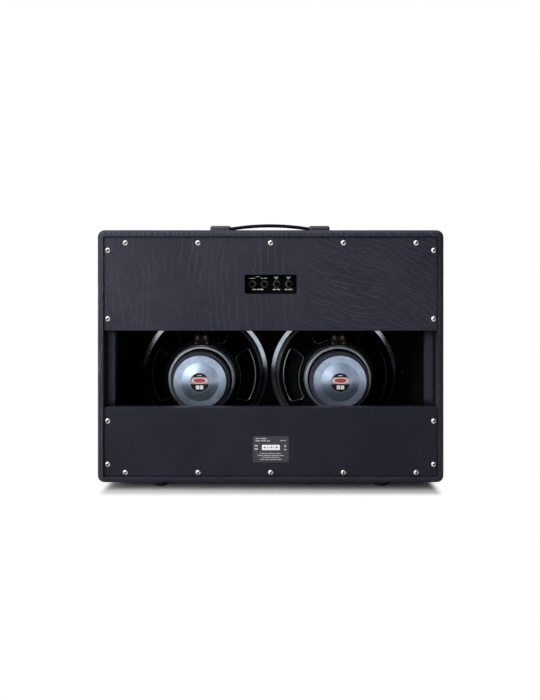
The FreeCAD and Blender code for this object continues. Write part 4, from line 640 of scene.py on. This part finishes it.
def piece(name, shells, material, smooth=True):
    """New object at the origin, of one or more closed skins."""
    points, faces, start = [], [], 0
    for skin_points, skin_faces in shells:
        points += skin_points.tolist()
        faces += [[start + corner for corner in face] for face in skin_faces]
        start += len(skin_points)
    mesh = bpy.data.meshes.new(name)
    mesh.from_pydata(points, [], faces)
    mesh.polygons.foreach_set("use_smooth", np.full(len(faces), smooth))
    mesh.materials.append(material)
    mesh.update()
    made = bpy.data.objects.new(name, mesh)
    bpy.context.scene.collection.objects.link(made)
    return made


def smooth_step(values, low, high):
    """Soft rise from 0 at low to 1 at high: t squared times (3 - 2 t)."""
    t = np.clip((values - low) / (high - low), 0.0, 1.0)
    return t * t * (3 - 2 * t)


def full_turn(steps):
    """Evenly spaced angles of one whole turn, which ends before its start comes again."""
    return np.linspace(0.0, 2 * math.pi, steps, endpoint=False)


def squared(wave, exponent):
    """Wave raised to an exponent below 1 with its sign kept, which makes a round section squarer."""
    return np.sign(wave) * np.abs(wave) ** exponent


def rounded_outline(width, height, radius, steps=6):
    """Rectangle with rounded corners, as (across, up) points: a quarter circle about each corner's middle."""
    angles = np.linspace(0.0, math.pi / 2, steps + 1)
    turn = (np.arange(4)[:, None] * math.pi / 2 + angles).ravel()
    middles = np.array([(1, 1), (-1, 1), (-1, -1), (1, -1)]) * (width / 2 - radius, height / 2 - radius)
    return np.repeat(middles, steps + 1, axis=0) + radius * np.stack([np.cos(turn), np.sin(turn)], axis=-1)


def turned_ring(side, radii, front, thickness, steps=144):
    """Cloth ring: a line of (radius, depth) and a copy a thickness behind, turned about a speaker's axis."""
    line_radii = np.concatenate([radii, radii[::-1]])
    line_depths = np.concatenate([front, front[::-1] + thickness])
    angles = full_turn(steps)[:, None]
    ring = np.stack(np.broadcast_arrays(SIDES[side] + line_radii * np.cos(angles), SEAT_Y + line_depths,
                                        AXIS_Z + line_radii * np.sin(angles)), axis=-1)
    return shell(ring, closed=True)


def corrugated(radii, outer, inner, outer_depth, inner_depth, count, height):
    """Depth of a corrugated ring: a straight line between two radii plus a cosine of count waves.

    The waves fade to nothing over the first and the last eighth of the way.
    """
    way = np.clip((outer - radii) / (outer - inner), 0.0, 1.0)
    fade = smooth_step(way, 0.0, 0.125) * smooth_step(1 - way, 0.0, 0.125)
    return outer_depth + (inner_depth - outer_depth) * way + height * fade * np.cos(2 * math.pi * count * way)


def bend_to_cone(made, node):
    """Lets a piece, in the place of a node, bend with a cone between two depths behind the rim's front."""
    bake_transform(made)
    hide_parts(node)


def cloth_ring(side, part, radii, depth):
    """Turned piece of treated cloth in the place of a speaker's part."""
    skin = turned_ring(side, radii, depth, bpy.context.scene.cabinet_sizes.skin)
    ring = piece(f"{side}_{part}_cloth", [skin], finish_of("treated_cloth"))
    bend_to_cone(ring, f"{side}_{part}")


def round_section(line, first, last, diameter, sides=12):
    """Circles round a line: half the diameter times first cos t + last sin t, two unit directions."""
    turn = full_turn(sides)[:, None]
    circle = first[:, None] * np.cos(turn) + last[:, None] * np.sin(turn)
    return line[:, None] + circle * diameter / 2


def lip_rings(side, turn, diameter):
    """Circles of a tube along a window's edge: a rounded rectangle of arc and radius on the wall's cone."""
    middle = sum(WINDOW_RADII) / 2
    width, height = 2 * WINDOW_HALF_ANGLE * middle, WINDOW_RADII[1] - WINDOW_RADII[0]
    flat = rounded_outline(width, height, WINDOW_CORNER, 5)
    steps = np.linspace(0.0, 1.0, 9)[:-1, None, None]
    flat = (flat + steps * (np.roll(flat, -1, axis=0) - flat)).swapaxes(0, 1).reshape(-1, 2)
    angle, radius = flat[:, 0] / middle + turn, flat[:, 1] + middle
    rise, run = WALL_HEAD[1] - WALL_FOOT[1], WALL_FOOT[0] - WALL_HEAD[0]
    outward = np.array((rise, run)) / math.hypot(rise, run)
    depth = WALL_FOOT[1] + (WALL_FOOT[0] - radius) * rise / run + WALL_THICKNESS / 2 / outward[1]
    line = np.stack([side + radius * np.cos(angle), SEAT_Y + depth, AXIS_Z + radius * np.sin(angle)], axis=-1)
    normal = np.stack([outward[0] * np.cos(angle), np.full(len(angle), outward[1]),
                       outward[0] * np.sin(angle)], axis=-1)
    along = np.roll(line, -1, axis=0) - np.roll(line, 1, axis=0)
    across = np.cross(along / np.linalg.norm(along, axis=1)[:, None], normal)
    return round_section(line, normal, across, diameter)


def smooth_route(points):
    """Points along the smooth NURBS line that has the route's points as its control points."""
    curve = bpy.data.curves.new("route", "CURVE")
    curve.dimensions = "3D"
    spline = curve.splines.new("NURBS")
    spline.points.add(len(points) - 1)
    spline.points.foreach_set("co", [part for point in points for part in (*point, 1.0)])
    spline.order_u = 3
    spline.use_endpoint_u = True
    spline.resolution_u = 12
    line = bpy.data.objects.new("route", curve)
    mesh = bpy.data.meshes.new_from_object(line)
    found = np.zeros(len(mesh.vertices) * 3)
    mesh.vertices.foreach_get("co", found)
    bpy.data.meshes.remove(mesh)
    bpy.data.objects.remove(line)
    bpy.data.curves.remove(curve)
    return found.reshape(-1, 3)


def tube_rings(line, diameter):
    """Circles of a tube round a line that keeps to one X: each lies across the line's direction."""
    along = np.gradient(line, axis=0)
    along /= np.linalg.norm(along, axis=1)[:, None]
    across = np.broadcast_to(np.array((1.0, 0.0, 0.0)), line.shape)
    return round_section(line, across, np.cross(along, across), diameter)


def ink(outline, across, up, face_y, height):
    """Closed slab of printed ink on a face that looks along +Y; across grows rightwards, seen from behind."""
    flat = outline + (across, up)
    slab = np.stack([np.stack([-flat[:, 0], np.full(len(flat), y), flat[:, 1]], axis=-1)
                     for y in (face_y - height, face_y + height)])
    return shell(slab)


def word_bars(start, end, up, height, words):
    """Printed line as plain bars, one for each word; words gives their lengths as shares of the line."""
    gap = height * 0.8
    room = end - start - gap * (len(words) - 1)
    bars, across = [], start
    for word in words:
        width = room * word / sum(words)
        bars.append((rounded_outline(width, height, height * 0.25, 2), across + width / 2, up))
        across += width + gap
    return bars


def line_marks(lines):
    """Bars of printed lines: start, end, height up and thickness of each in millimetres, and its words."""
    return [mark for start, end, up, tall, words in lines
            for mark in word_bars(start * MM, end * MM, up * MM, tall * MM, words)]


def ink_finish(name, tone, rough):
    """Printed ink, nearly even in tone."""
    return grained(name, tone, rough, 900.0, 0.00001, spread=0.06)


def print_marks(name, marks, places, material, face_y, height):
    """Piece of printed ink: each mark, an outline with its place across and up, about each of the places."""
    slabs = [ink(outline, across + place[0], up + place[1], face_y, height)
             for place in places for outline, across, up in marks]
    prints = piece(name, slabs, material, smooth=False)
    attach(prints, "cabinet")


# Operators

class CABINET_OT_finishes(bpy.types.Operator):
    """Make the finish of every material slot and put it on the CAD nodes"""

    bl_idname = "cabinet.finishes"
    bl_label = "Make Finishes"

    def execute(self, context):
        made = slot_finishes(context.scene.cabinet_colours)
        context.scene["cabinet_finishes"] = {slot: material.name for slot, material in made.items()}
        dress(frame["nodes"])
        return {"FINISHED"}


class CABINET_OT_panel_vinyl(bpy.types.Operator):
    """Cover the lower rear panel in the same vinyl with a flatter grain, and the box with a denser one"""

    bl_idname = "cabinet.panel_vinyl"
    bl_label = "Cover Box And Lower Panel"

    def execute(self, context):
        tones = context.scene.cabinet_colours
        dress(["lower_back_covering"], creased_vinyl("flat_vinyl", tones, crease_share=0.14, painted_light_share=0.71))
        box_vinyl = creased_vinyl("box_vinyl", tones, crease_share=0.9, painted_light_share=0.92, dense=True)
        dress(["cabinet_covering"], box_vinyl)
        return {"FINISHED"}


class CABINET_OT_grille_cloth(bpy.types.Operator):
    """Stretch the grille cloth over its frame and turn it back along the edges"""

    bl_idname = "cabinet.grille_cloth"
    bl_label = "Stretch Grille Cloth"

    def execute(self, context):
        sizes = context.scene.cabinet_sizes
        low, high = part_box("grille_frame")
        cloth_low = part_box("grille_cloth")[0]
        middle_z = (low.z + high.z) / 2
        thickness = sizes.cloth_thickness
        roll, inside, behind = (times * thickness for times in (CLOTH_ROLL, CLOTH_INSIDE, CLOTH_BEHIND))
        width, height = high.x - low.x + 2 * thickness, high.z - low.z + 2 * thickness

        def loop(inset, y):
            flat = rounded_outline(width - 2 * inset, height - 2 * inset, max(roll - inset, 0.1 * MM), 4)
            return np.column_stack([flat[:, 0], np.full(len(flat), y), flat[:, 1] + middle_z])

        # Loops that widen from a strip in the middle, go round a quarter circle and back along the edge
        turn = np.linspace(0.0, math.pi / 2, 6)
        flat_insets = np.linspace(height / 2 - 4 * MM, roll, 24)
        insets = np.concatenate([flat_insets, roll * (1 - np.sin(turn))])
        depths = np.concatenate([0 * flat_insets, roll * (1 - np.cos(turn))]) + cloth_low.y
        front = [loop(inset, y) for inset, y in zip(insets, depths)]
        edge = [loop(0.0, y) for y in np.linspace(depths[-1], depths[-1] + sizes.cloth_turn, 5)[1:]]
        back = [loop(max(inset, inside), y) for inset, y in zip(insets, depths + behind)][::-1]
        hem = [loop(inside, edge[-1][0, 1])]
        skin = shell(np.array(front + edge + hem + back))
        cloth = piece("grille_cloth_sheet", [skin], finish_of("grille_cloth"))
        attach(cloth, "cabinet")
        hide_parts("grille_cloth")
        return {"FINISHED"}


class CABINET_OT_handle_strap(bpy.types.Operator):
    """Carry the strap's rounded section along its arch, in two halves that bend as the handle is lifted"""

    bl_idname = "cabinet.handle_strap"
    bl_label = "Make Handle Strap"

    def execute(self, context):
        sizes = context.scene.cabinet_sizes
        low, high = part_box("handle_strap")
        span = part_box("right_handle_cap")[0].x
        half_width, half_height = (high.y - low.y) / 2, sizes.strap_thickness / 2
        crest, seat = high.z - half_height, low.z + half_height
        foot, rise = span + sizes.strap_foot, crest - seat
        # The arch is a circle of radius bend below the crest, and the section a circle squared off
        bend = (foot ** 2 + rise ** 2) / (2 * rise) - sizes.strap_foot_radius
        x = np.linspace(0.0, span + sizes.strap_tongue, 80)
        z = crest - bend + np.sqrt(bend ** 2 - x ** 2)
        slope = np.arctan(np.gradient(z, x))
        turn = full_turn(40)
        across = half_width * squared(np.cos(turn), STRAP_SQUARENESS[0])
        up = half_height * squared(np.sin(turn), STRAP_SQUARENESS[1])
        for name, side in SIDES.items():
            way = math.copysign(1.0, side)
            rings = np.stack(np.broadcast_arrays(
                way * (x[:, None] - up * np.sin(slope)[:, None]), across,
                z[:, None] + up * np.cos(slope)[:, None]), axis=-1)
            strap = piece(f"{name}_strap_half", [shell(rings)], finish_of("strap_vinyl"))
            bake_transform(strap)
            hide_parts("handle_strap")
        return {"FINISHED"}


class CABINET_OT_surrounds(bpy.types.Operator):
    """Turn the corrugated cloth edges from the speakers' rims to the cones"""

    bl_idname = "cabinet.surrounds"
    bl_label = "Turn Surrounds"

    def execute(self, context):
        sizes = context.scene.cabinet_sizes
        for name in SIDES:
            low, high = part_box(f"{name}_surround")
            outer = (high.x - low.x) / 2
            land, land_depth = outer - sizes.surround_land, -sizes.skin
            skirt_end_depth = high.y - SEAT_Y - sizes.skin
            skirt_depth = skirt_end_depth - sizes.surround_skirt * CONE_SLOPE
            radii = np.linspace(outer, CONE_RADIUS - sizes.surround_skirt, 110)
            depth = corrugated(radii, land, CONE_RADIUS, land_depth, skirt_depth, 2, sizes.surround_wave)
            skirt = np.maximum(CONE_RADIUS - radii, 0.0) * CONE_SLOPE
            cloth_ring(name, "surround", radii, depth + skirt)
        return {"FINISHED"}


class CABINET_OT_spiders(bpy.types.Operator):
    """Turn the corrugated cloth discs that centre the voice coils"""

    bl_idname = "cabinet.spiders"
    bl_label = "Turn Spiders"

    def execute(self, context):
        sizes = context.scene.cabinet_sizes
        for name in SIDES:
            low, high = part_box(f"{name}_spider")
            outer = (high.x - low.x) / 2
            radii = np.linspace(outer, SPIDER_NECK_RADIUS, 190)
            depth = corrugated(radii, outer - sizes.spider_land, SPIDER_NECK_RADIUS + sizes.spider_land,
                               SPIDER_RIM_DEPTH, SPIDER_NECK_DEPTH, 5, sizes.spider_wave)
            cloth_ring(name, "spider", radii, depth)
        return {"FINISHED"}


class CABINET_OT_window_lips(bpy.types.Operator):
    """Roll a round edge about each window of the speaker frames"""

    bl_idname = "cabinet.window_lips"
    bl_label = "Roll Window Edges"

    def execute(self, context):
        tones, sizes = context.scene.cabinet_colours, context.scene.cabinet_sizes
        material = rolled_edge("rolled_edge", tones)
        for name, side in SIDES.items():
            lips = [shell(lip_rings(side, 2 * math.pi / WINDOW_COUNT * n, sizes.lip_diameter), closed=True)
                    for n in range(WINDOW_COUNT)]
            edges = piece(f"{name}_window_lips", lips, material)
            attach(edges, "cabinet")
        return {"FINISHED"}


class CABINET_OT_tinsel_leads(bpy.types.Operator):
    """Carry a round section along each tinsel lead's smooth route, from the terminal board to the cone"""

    bl_idname = "cabinet.tinsel_leads"
    bl_label = "Lay Tinsel Leads"

    def execute(self, context):
        sizes = context.scene.cabinet_sizes
        for name in SIDES:
            leads = []
            for side in (-1, 1):
                x = SIDES[name] + side * TINSEL_HALF_SPACING
                route = [(x, SEAT_Y + TINSEL_START[0] + (TINSEL_END[0] - TINSEL_START[0]) * forward,
                          AXIS_Z + TINSEL_START[1] + (TINSEL_END[1] - TINSEL_START[1]) * inward)
                         for forward, inward in TINSEL_TURNS]
                leads.append(shell(tube_rings(smooth_route(route), sizes.tinsel_diameter)))
            pair = piece(f"{name}_tinsel_pair", leads, finish_of("tinsel"))
            bend_to_cone(pair, f"{name}_tinsel_leads")
        return {"FINISHED"}


class CABINET_OT_magnet_prints(bpy.types.Operator):
    """Print a silver band, a plain red oval and plain white bars on the round magnet labels"""

    bl_idname = "cabinet.magnet_prints"
    bl_label = "Print Magnet Labels"

    def execute(self, context):
        tones = context.scene.cabinet_colours
        height = context.scene.cabinet_sizes.ink_height
        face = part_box("magnet_labels")[1].y
        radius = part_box("magnet_labels")[1].x - AXIS_X
        band_low, band_high = -0.16 * radius, 0.57 * radius
        band_middle = (band_low + band_high) / 2
        chord = np.linspace(band_low, band_high, 12)
        edge = np.sqrt((0.985 * radius) ** 2 - chord ** 2)
        band = np.column_stack([np.concatenate([edge, -edge[::-1]]), np.concatenate([chord, chord[::-1]])])
        turn = full_turn(40)
        oval = np.column_stack([0.66 * radius * np.cos(turn), 0.24 * radius * np.sin(turn)])
        block = rounded_outline(0.36 * radius, 0.42 * radius, 0.05 * radius, 2)
        bars = [(block, across * radius, -0.52 * radius) for across in (-0.21, 0.21)]
        bars += word_bars(-0.22 * radius, 0.22 * radius, 0.74 * radius, 0.08 * radius, (2, 3))
        layers = {"silver": ([(band, 0.0, 0.0)], tones.silver_ink, 1),
                  "red": ([(oval, 0.0, band_middle)], tones.red_ink, 3),
                  "white": (bars + [(1.3 * oval, 0.0, band_middle)], rgba(tones.ink, 1.3)[:3], 2)}
        places = [(-side, AXIS_Z) for side in SIDES.values()]
        for layer, (marks, tone, rise) in layers.items():
            material = ink_finish(f"{layer}_ink", tone, 0.45)
            print_marks(f"magnet_label_{layer}_ink", marks, places, material, face, rise * height)
        return {"FINISHED"}


class CABINET_OT_rating_print(bpy.types.Operator):
    """Print plain bars and a white field on the rating label"""

    bl_idname = "cabinet.rating_print"
    bl_label = "Print Rating Label"

    def execute(self, context):
        tones = context.scene.cabinet_colours
        height = context.scene.cabinet_sizes.ink_height
        low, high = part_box("rating_label")
        field = (rounded_outline(36.0 * MM, 10.6 * MM, 0.4 * MM, 2), 0.4 * MM, 3.6 * MM)
        lines = [(-31.0, -9.0, 21.6, 2.2, (2, 1, 3)), (-31.0, -2.0, 17.0, 2.2, (4, 4, 2)),
                 (19.5, 31.0, 17.6, 1.8, (2, 2)), (-22.0, 20.5, -8.5, 1.3, (1, 5, 6, 4)),
                 (-26.5, 26.0, -12.7, 1.5, (4, 5, 5, 3)), (-17.5, 17.8, -16.3, 1.2, (5, 4)),
                 (-22.5, 22.0, -20.6, 1.4, (3, 3, 4, 3))]
        blocks = [(rounded_outline(wide * MM, tall * MM, 0.5 * MM, 2), across * MM, up * MM)
                  for across, up, wide, tall in ((-29.5, 7.0, 7.0, 3.2), (-29.5, 0.5, 7.0, 3.2),
                                                 (29.5, 6.4, 4.0, 4.4), (29.5, -0.6, 6.0, 2.0))]
        codes = word_bars(-14.5 * MM, 14.0 * MM, 3.6 * MM, 3.4 * MM, (3, 1, 1, 2, 1, 3))
        layers = {"white": ([field], rgba(tones.ink, 1.3)[:3], 1),
                  "grey": (line_marks(lines) + blocks, rgba(tones.ink, 0.62)[:3], 1),
                  "dark": (codes, rgba(tones.label, 2.0)[:3], 2)}
        places = [(0.0, (low.z + high.z) / 2)]
        for layer, (marks, tone, rise) in layers.items():
            material = ink_finish(f"rating_{layer}_ink", tone, 0.5)
            print_marks(f"rating_label_{layer}_ink", marks, places, material, high.y, rise * height)
        return {"FINISHED"}


class CABINET_OT_jack_print(bpy.types.Operator):
    """Print plain bars and pointers round the four jack sockets"""

    bl_idname = "cabinet.jack_print"
    bl_label = "Print Jack Plate"

    def execute(self, context):
        tones = context.scene.cabinet_colours
        height = context.scene.cabinet_sizes.ink_height
        low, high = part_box("jack_nuts")
        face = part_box("jack_plate")[1].y
        lines = [(-46.0, -32.0, 12.0, 2.0, (1, 3)), (-31.0, -21.4, 15.0, 1.5, (1,)),
                 (-19.5, -7.5, 12.0, 2.0, (2, 3)), (-38.0, -15.0, -11.0, 2.2, (3, 5)),
                 (4.4, 19.2, -11.0, 2.2, (4, 4)), (29.2, 44.8, -11.0, 2.2, (3, 5))]
        pointer = np.array([(5.2, 2.6), (-5.2, 2.6), (-1.2, -2.6), (1.2, -2.6)]) * MM
        marks = line_marks(lines) + [(pointer, across * MM, 12.6 * MM) for across in (11.5, 36.6)]
        material = ink_finish("plate_ink", rgba(tones.ink, 0.6)[:3], 0.5)
        places = [(0.0, (low.z + high.z) / 2)]
        print_marks("jack_plate_ink", marks, places, material, face, height)
        return {"FINISHED"}


class CABINET_OT_studio(bpy.types.Operator):
    """Set the camera, the floor, the world and the softboxes"""

    bl_idname = "cabinet.studio"
    bl_label = "Set Studio"

    def execute(self, context):
        setup = context.scene.cabinet_studio
        context.scene.view_settings.view_transform = "Standard"
        set_camera(context.scene, setup)
        set_world(context.scene, setup)
        set_floor(context.scene.cabinet_colours)
        for name, (place, aim, size, shine) in SOFTBOXES.items():
            softbox(f"{name}_softbox", place, aim, size, getattr(setup, name), shine)
        return {"FINISHED"}


def set_camera(scene, setup):
    """Camera behind the cabinet, looking along -Y, its lens shifted to place the cabinet in the picture."""
    lens = bpy.data.cameras.new("rear_camera")
    lens.lens = setup.lens
    lens.sensor_width = 36.0
    lens.shift_x, lens.shift_y = setup.shift_x, setup.shift_y
    camera = bpy.data.objects.new("rear_camera", lens)
    camera.location = (setup.eye_offset, setup.eye_distance, setup.eye_height)
    camera.rotation_euler = (math.pi / 2, 0.0, math.pi)
    scene.collection.objects.link(camera)
    scene.camera = camera


def set_world(scene, setup):
    """White room to the eye, which lights the object at the ambient strength.

    Shiny parts see it in three strengths: dusk beyond the object, room on the camera's side, and sky in the
    upper part of that side.
    """
    world = bpy.data.worlds.new("studio_room")
    world.use_nodes = True
    nodes = Nodes(world.node_tree)
    way = nodes.add("ShaderNodeTexCoord", {}).outputs["Generated"]
    x, y, z = nodes.add("ShaderNodeSeparateXYZ", {0: way}).outputs
    above = nodes.times(nodes.ramp(z, *SKY_RISE), nodes.ramp(x, *SKY_ACROSS, 0.3, 1.0))
    near = nodes.ramp(above, 0.0, 1.0, setup.room, setup.sky)
    shown = nodes.ramp(y, *DUSK_END, setup.dusk, near)
    eye = nodes.add("ShaderNodeLightPath", {}).outputs["Is Camera Ray"]
    strength = nodes.ramp(nodes.seen(), 0.0, 1.0, setup.ambient, nodes.math("MAXIMUM", eye, shown))
    nodes.feed(nodes.tree.nodes["Background"], {"Color": WHITE, "Strength": strength})
    scene.world = world


def set_floor(tones):
    """Wide pale floor that keeps the object's shadow near it and is plain white to the eye further out."""
    corners = [(FLOOR_REACH * x, FLOOR_REACH * y, 0.0) for x, y in ((-1, -1), (1, -1), (1, 1), (-1, 1))]
    mesh = bpy.data.meshes.new("studio_floor")
    mesh.from_pydata(corners, [], [(0, 1, 2, 3)])
    finish = Finish("pale_floor")
    seen = finish.seen()
    finish.surface(finish.mixed(seen, rgba(tones.floor, FLOOR_UNSEEN), rgba(tones.floor)), 0.9, 0.0, 0.0)
    half_width, half_depth, _ = CAD_BOX[1]
    dark = (half_width - SHADOW_INSET, half_depth, 0.0)
    beyond = finish.vector("SUBTRACT", finish.vector("ABSOLUTE", finish.place), dark)
    beyond = finish.vector("MAXIMUM", beyond, (0.0, 0.0, 0.0))
    outside = finish.vector("MULTIPLY", beyond, SHADOW_NARROWING)
    distance = finish.add("ShaderNodeVectorMath", {0: outside}, operation="LENGTH").outputs["Value"]
    away = finish.ramp(distance, 0.0, SHADOW_REACH)
    white = finish.add("ShaderNodeEmission", {"Color": WHITE, "Strength": 1.0})
    mix = finish.add("ShaderNodeMixShader", {0: finish.times(away, seen),
                                             1: finish.shader.outputs[0], 2: white.outputs[0]})
    finish.feed(finish.tree.nodes["Material Output"], {"Surface": mix.outputs[0]})
    mesh.materials.append(finish.material)
    floor = bpy.data.objects.new("studio_floor", mesh)
    bpy.context.scene.collection.objects.link(floor)


def softbox(name, place, aim, size, watts, shine):
    """Square area lamp at a place, aimed at a point; one without shine makes no highlights."""
    lamp = bpy.data.lights.new(name, "AREA")
    lamp.shape = "SQUARE"
    lamp.size = size
    lamp.energy = watts
    box = bpy.data.objects.new(name, lamp)
    box.location = place
    direction = np.array(aim) - np.array(place)
    level = math.hypot(direction[0], direction[1])
    box.rotation_euler = (math.atan2(level, -direction[2]), 0.0, math.atan2(-direction[0], direction[1]))
    box.visible_camera = False
    box.visible_glossy = shine
    bpy.context.scene.collection.objects.link(box)


# Panel and registration

STEPS = (CABINET_OT_finishes, CABINET_OT_panel_vinyl, CABINET_OT_grille_cloth, CABINET_OT_handle_strap,
         CABINET_OT_surrounds, CABINET_OT_spiders, CABINET_OT_window_lips, CABINET_OT_tinsel_leads,
         CABINET_OT_magnet_prints, CABINET_OT_rating_print, CABINET_OT_jack_print, CABINET_OT_studio)


GROUPS = {"cabinet_colours": CabinetColours, "cabinet_sizes": CabinetSizes, "cabinet_studio": CabinetStudio}


class CABINET_PT_dressing(bpy.types.Panel):
    """Sizes, colours and steps of the cabinet's dressing"""

    bl_idname = "CABINET_PT_dressing"
    bl_label = "Speaker Cabinet"
    bl_space_type = "VIEW_3D"
    bl_region_type = "UI"
    bl_category = "Cabinet"

    def draw(self, context):
        for group in (getattr(context.scene, name) for name in GROUPS):
            column = self.layout.column(heading=group.__doc__)
            for name in type(group).__annotations__:
                column.prop(group, name)
        for step in STEPS:
            self.layout.operator(step.bl_idname)


def register():
    """Registers every class and hangs the property groups on the scene."""
    for made in (*GROUPS.values(), *STEPS, CABINET_PT_dressing):
        bpy.utils.register_class(made)
    for name, group in GROUPS.items():
        setattr(bpy.types.Scene, name, bpy.props.PointerProperty(type=group))


def unregister():
    """Takes the property groups off the scene and unregisters every class."""
    for name in GROUPS:
        delattr(bpy.types.Scene, name)
    for made in (CABINET_PT_dressing, *reversed(STEPS), *reversed(GROUPS.values())):
        bpy.utils.unregister_class(made)


def main():
    """Runs every step in order and writes the boxes of the CAD model and of the dressed one."""
    register()
    for step in STEPS:
        group, action = step.bl_idname.split(".")
        getattr(getattr(bpy.ops, group), action)()


if __name__ == "__main__":
    main()
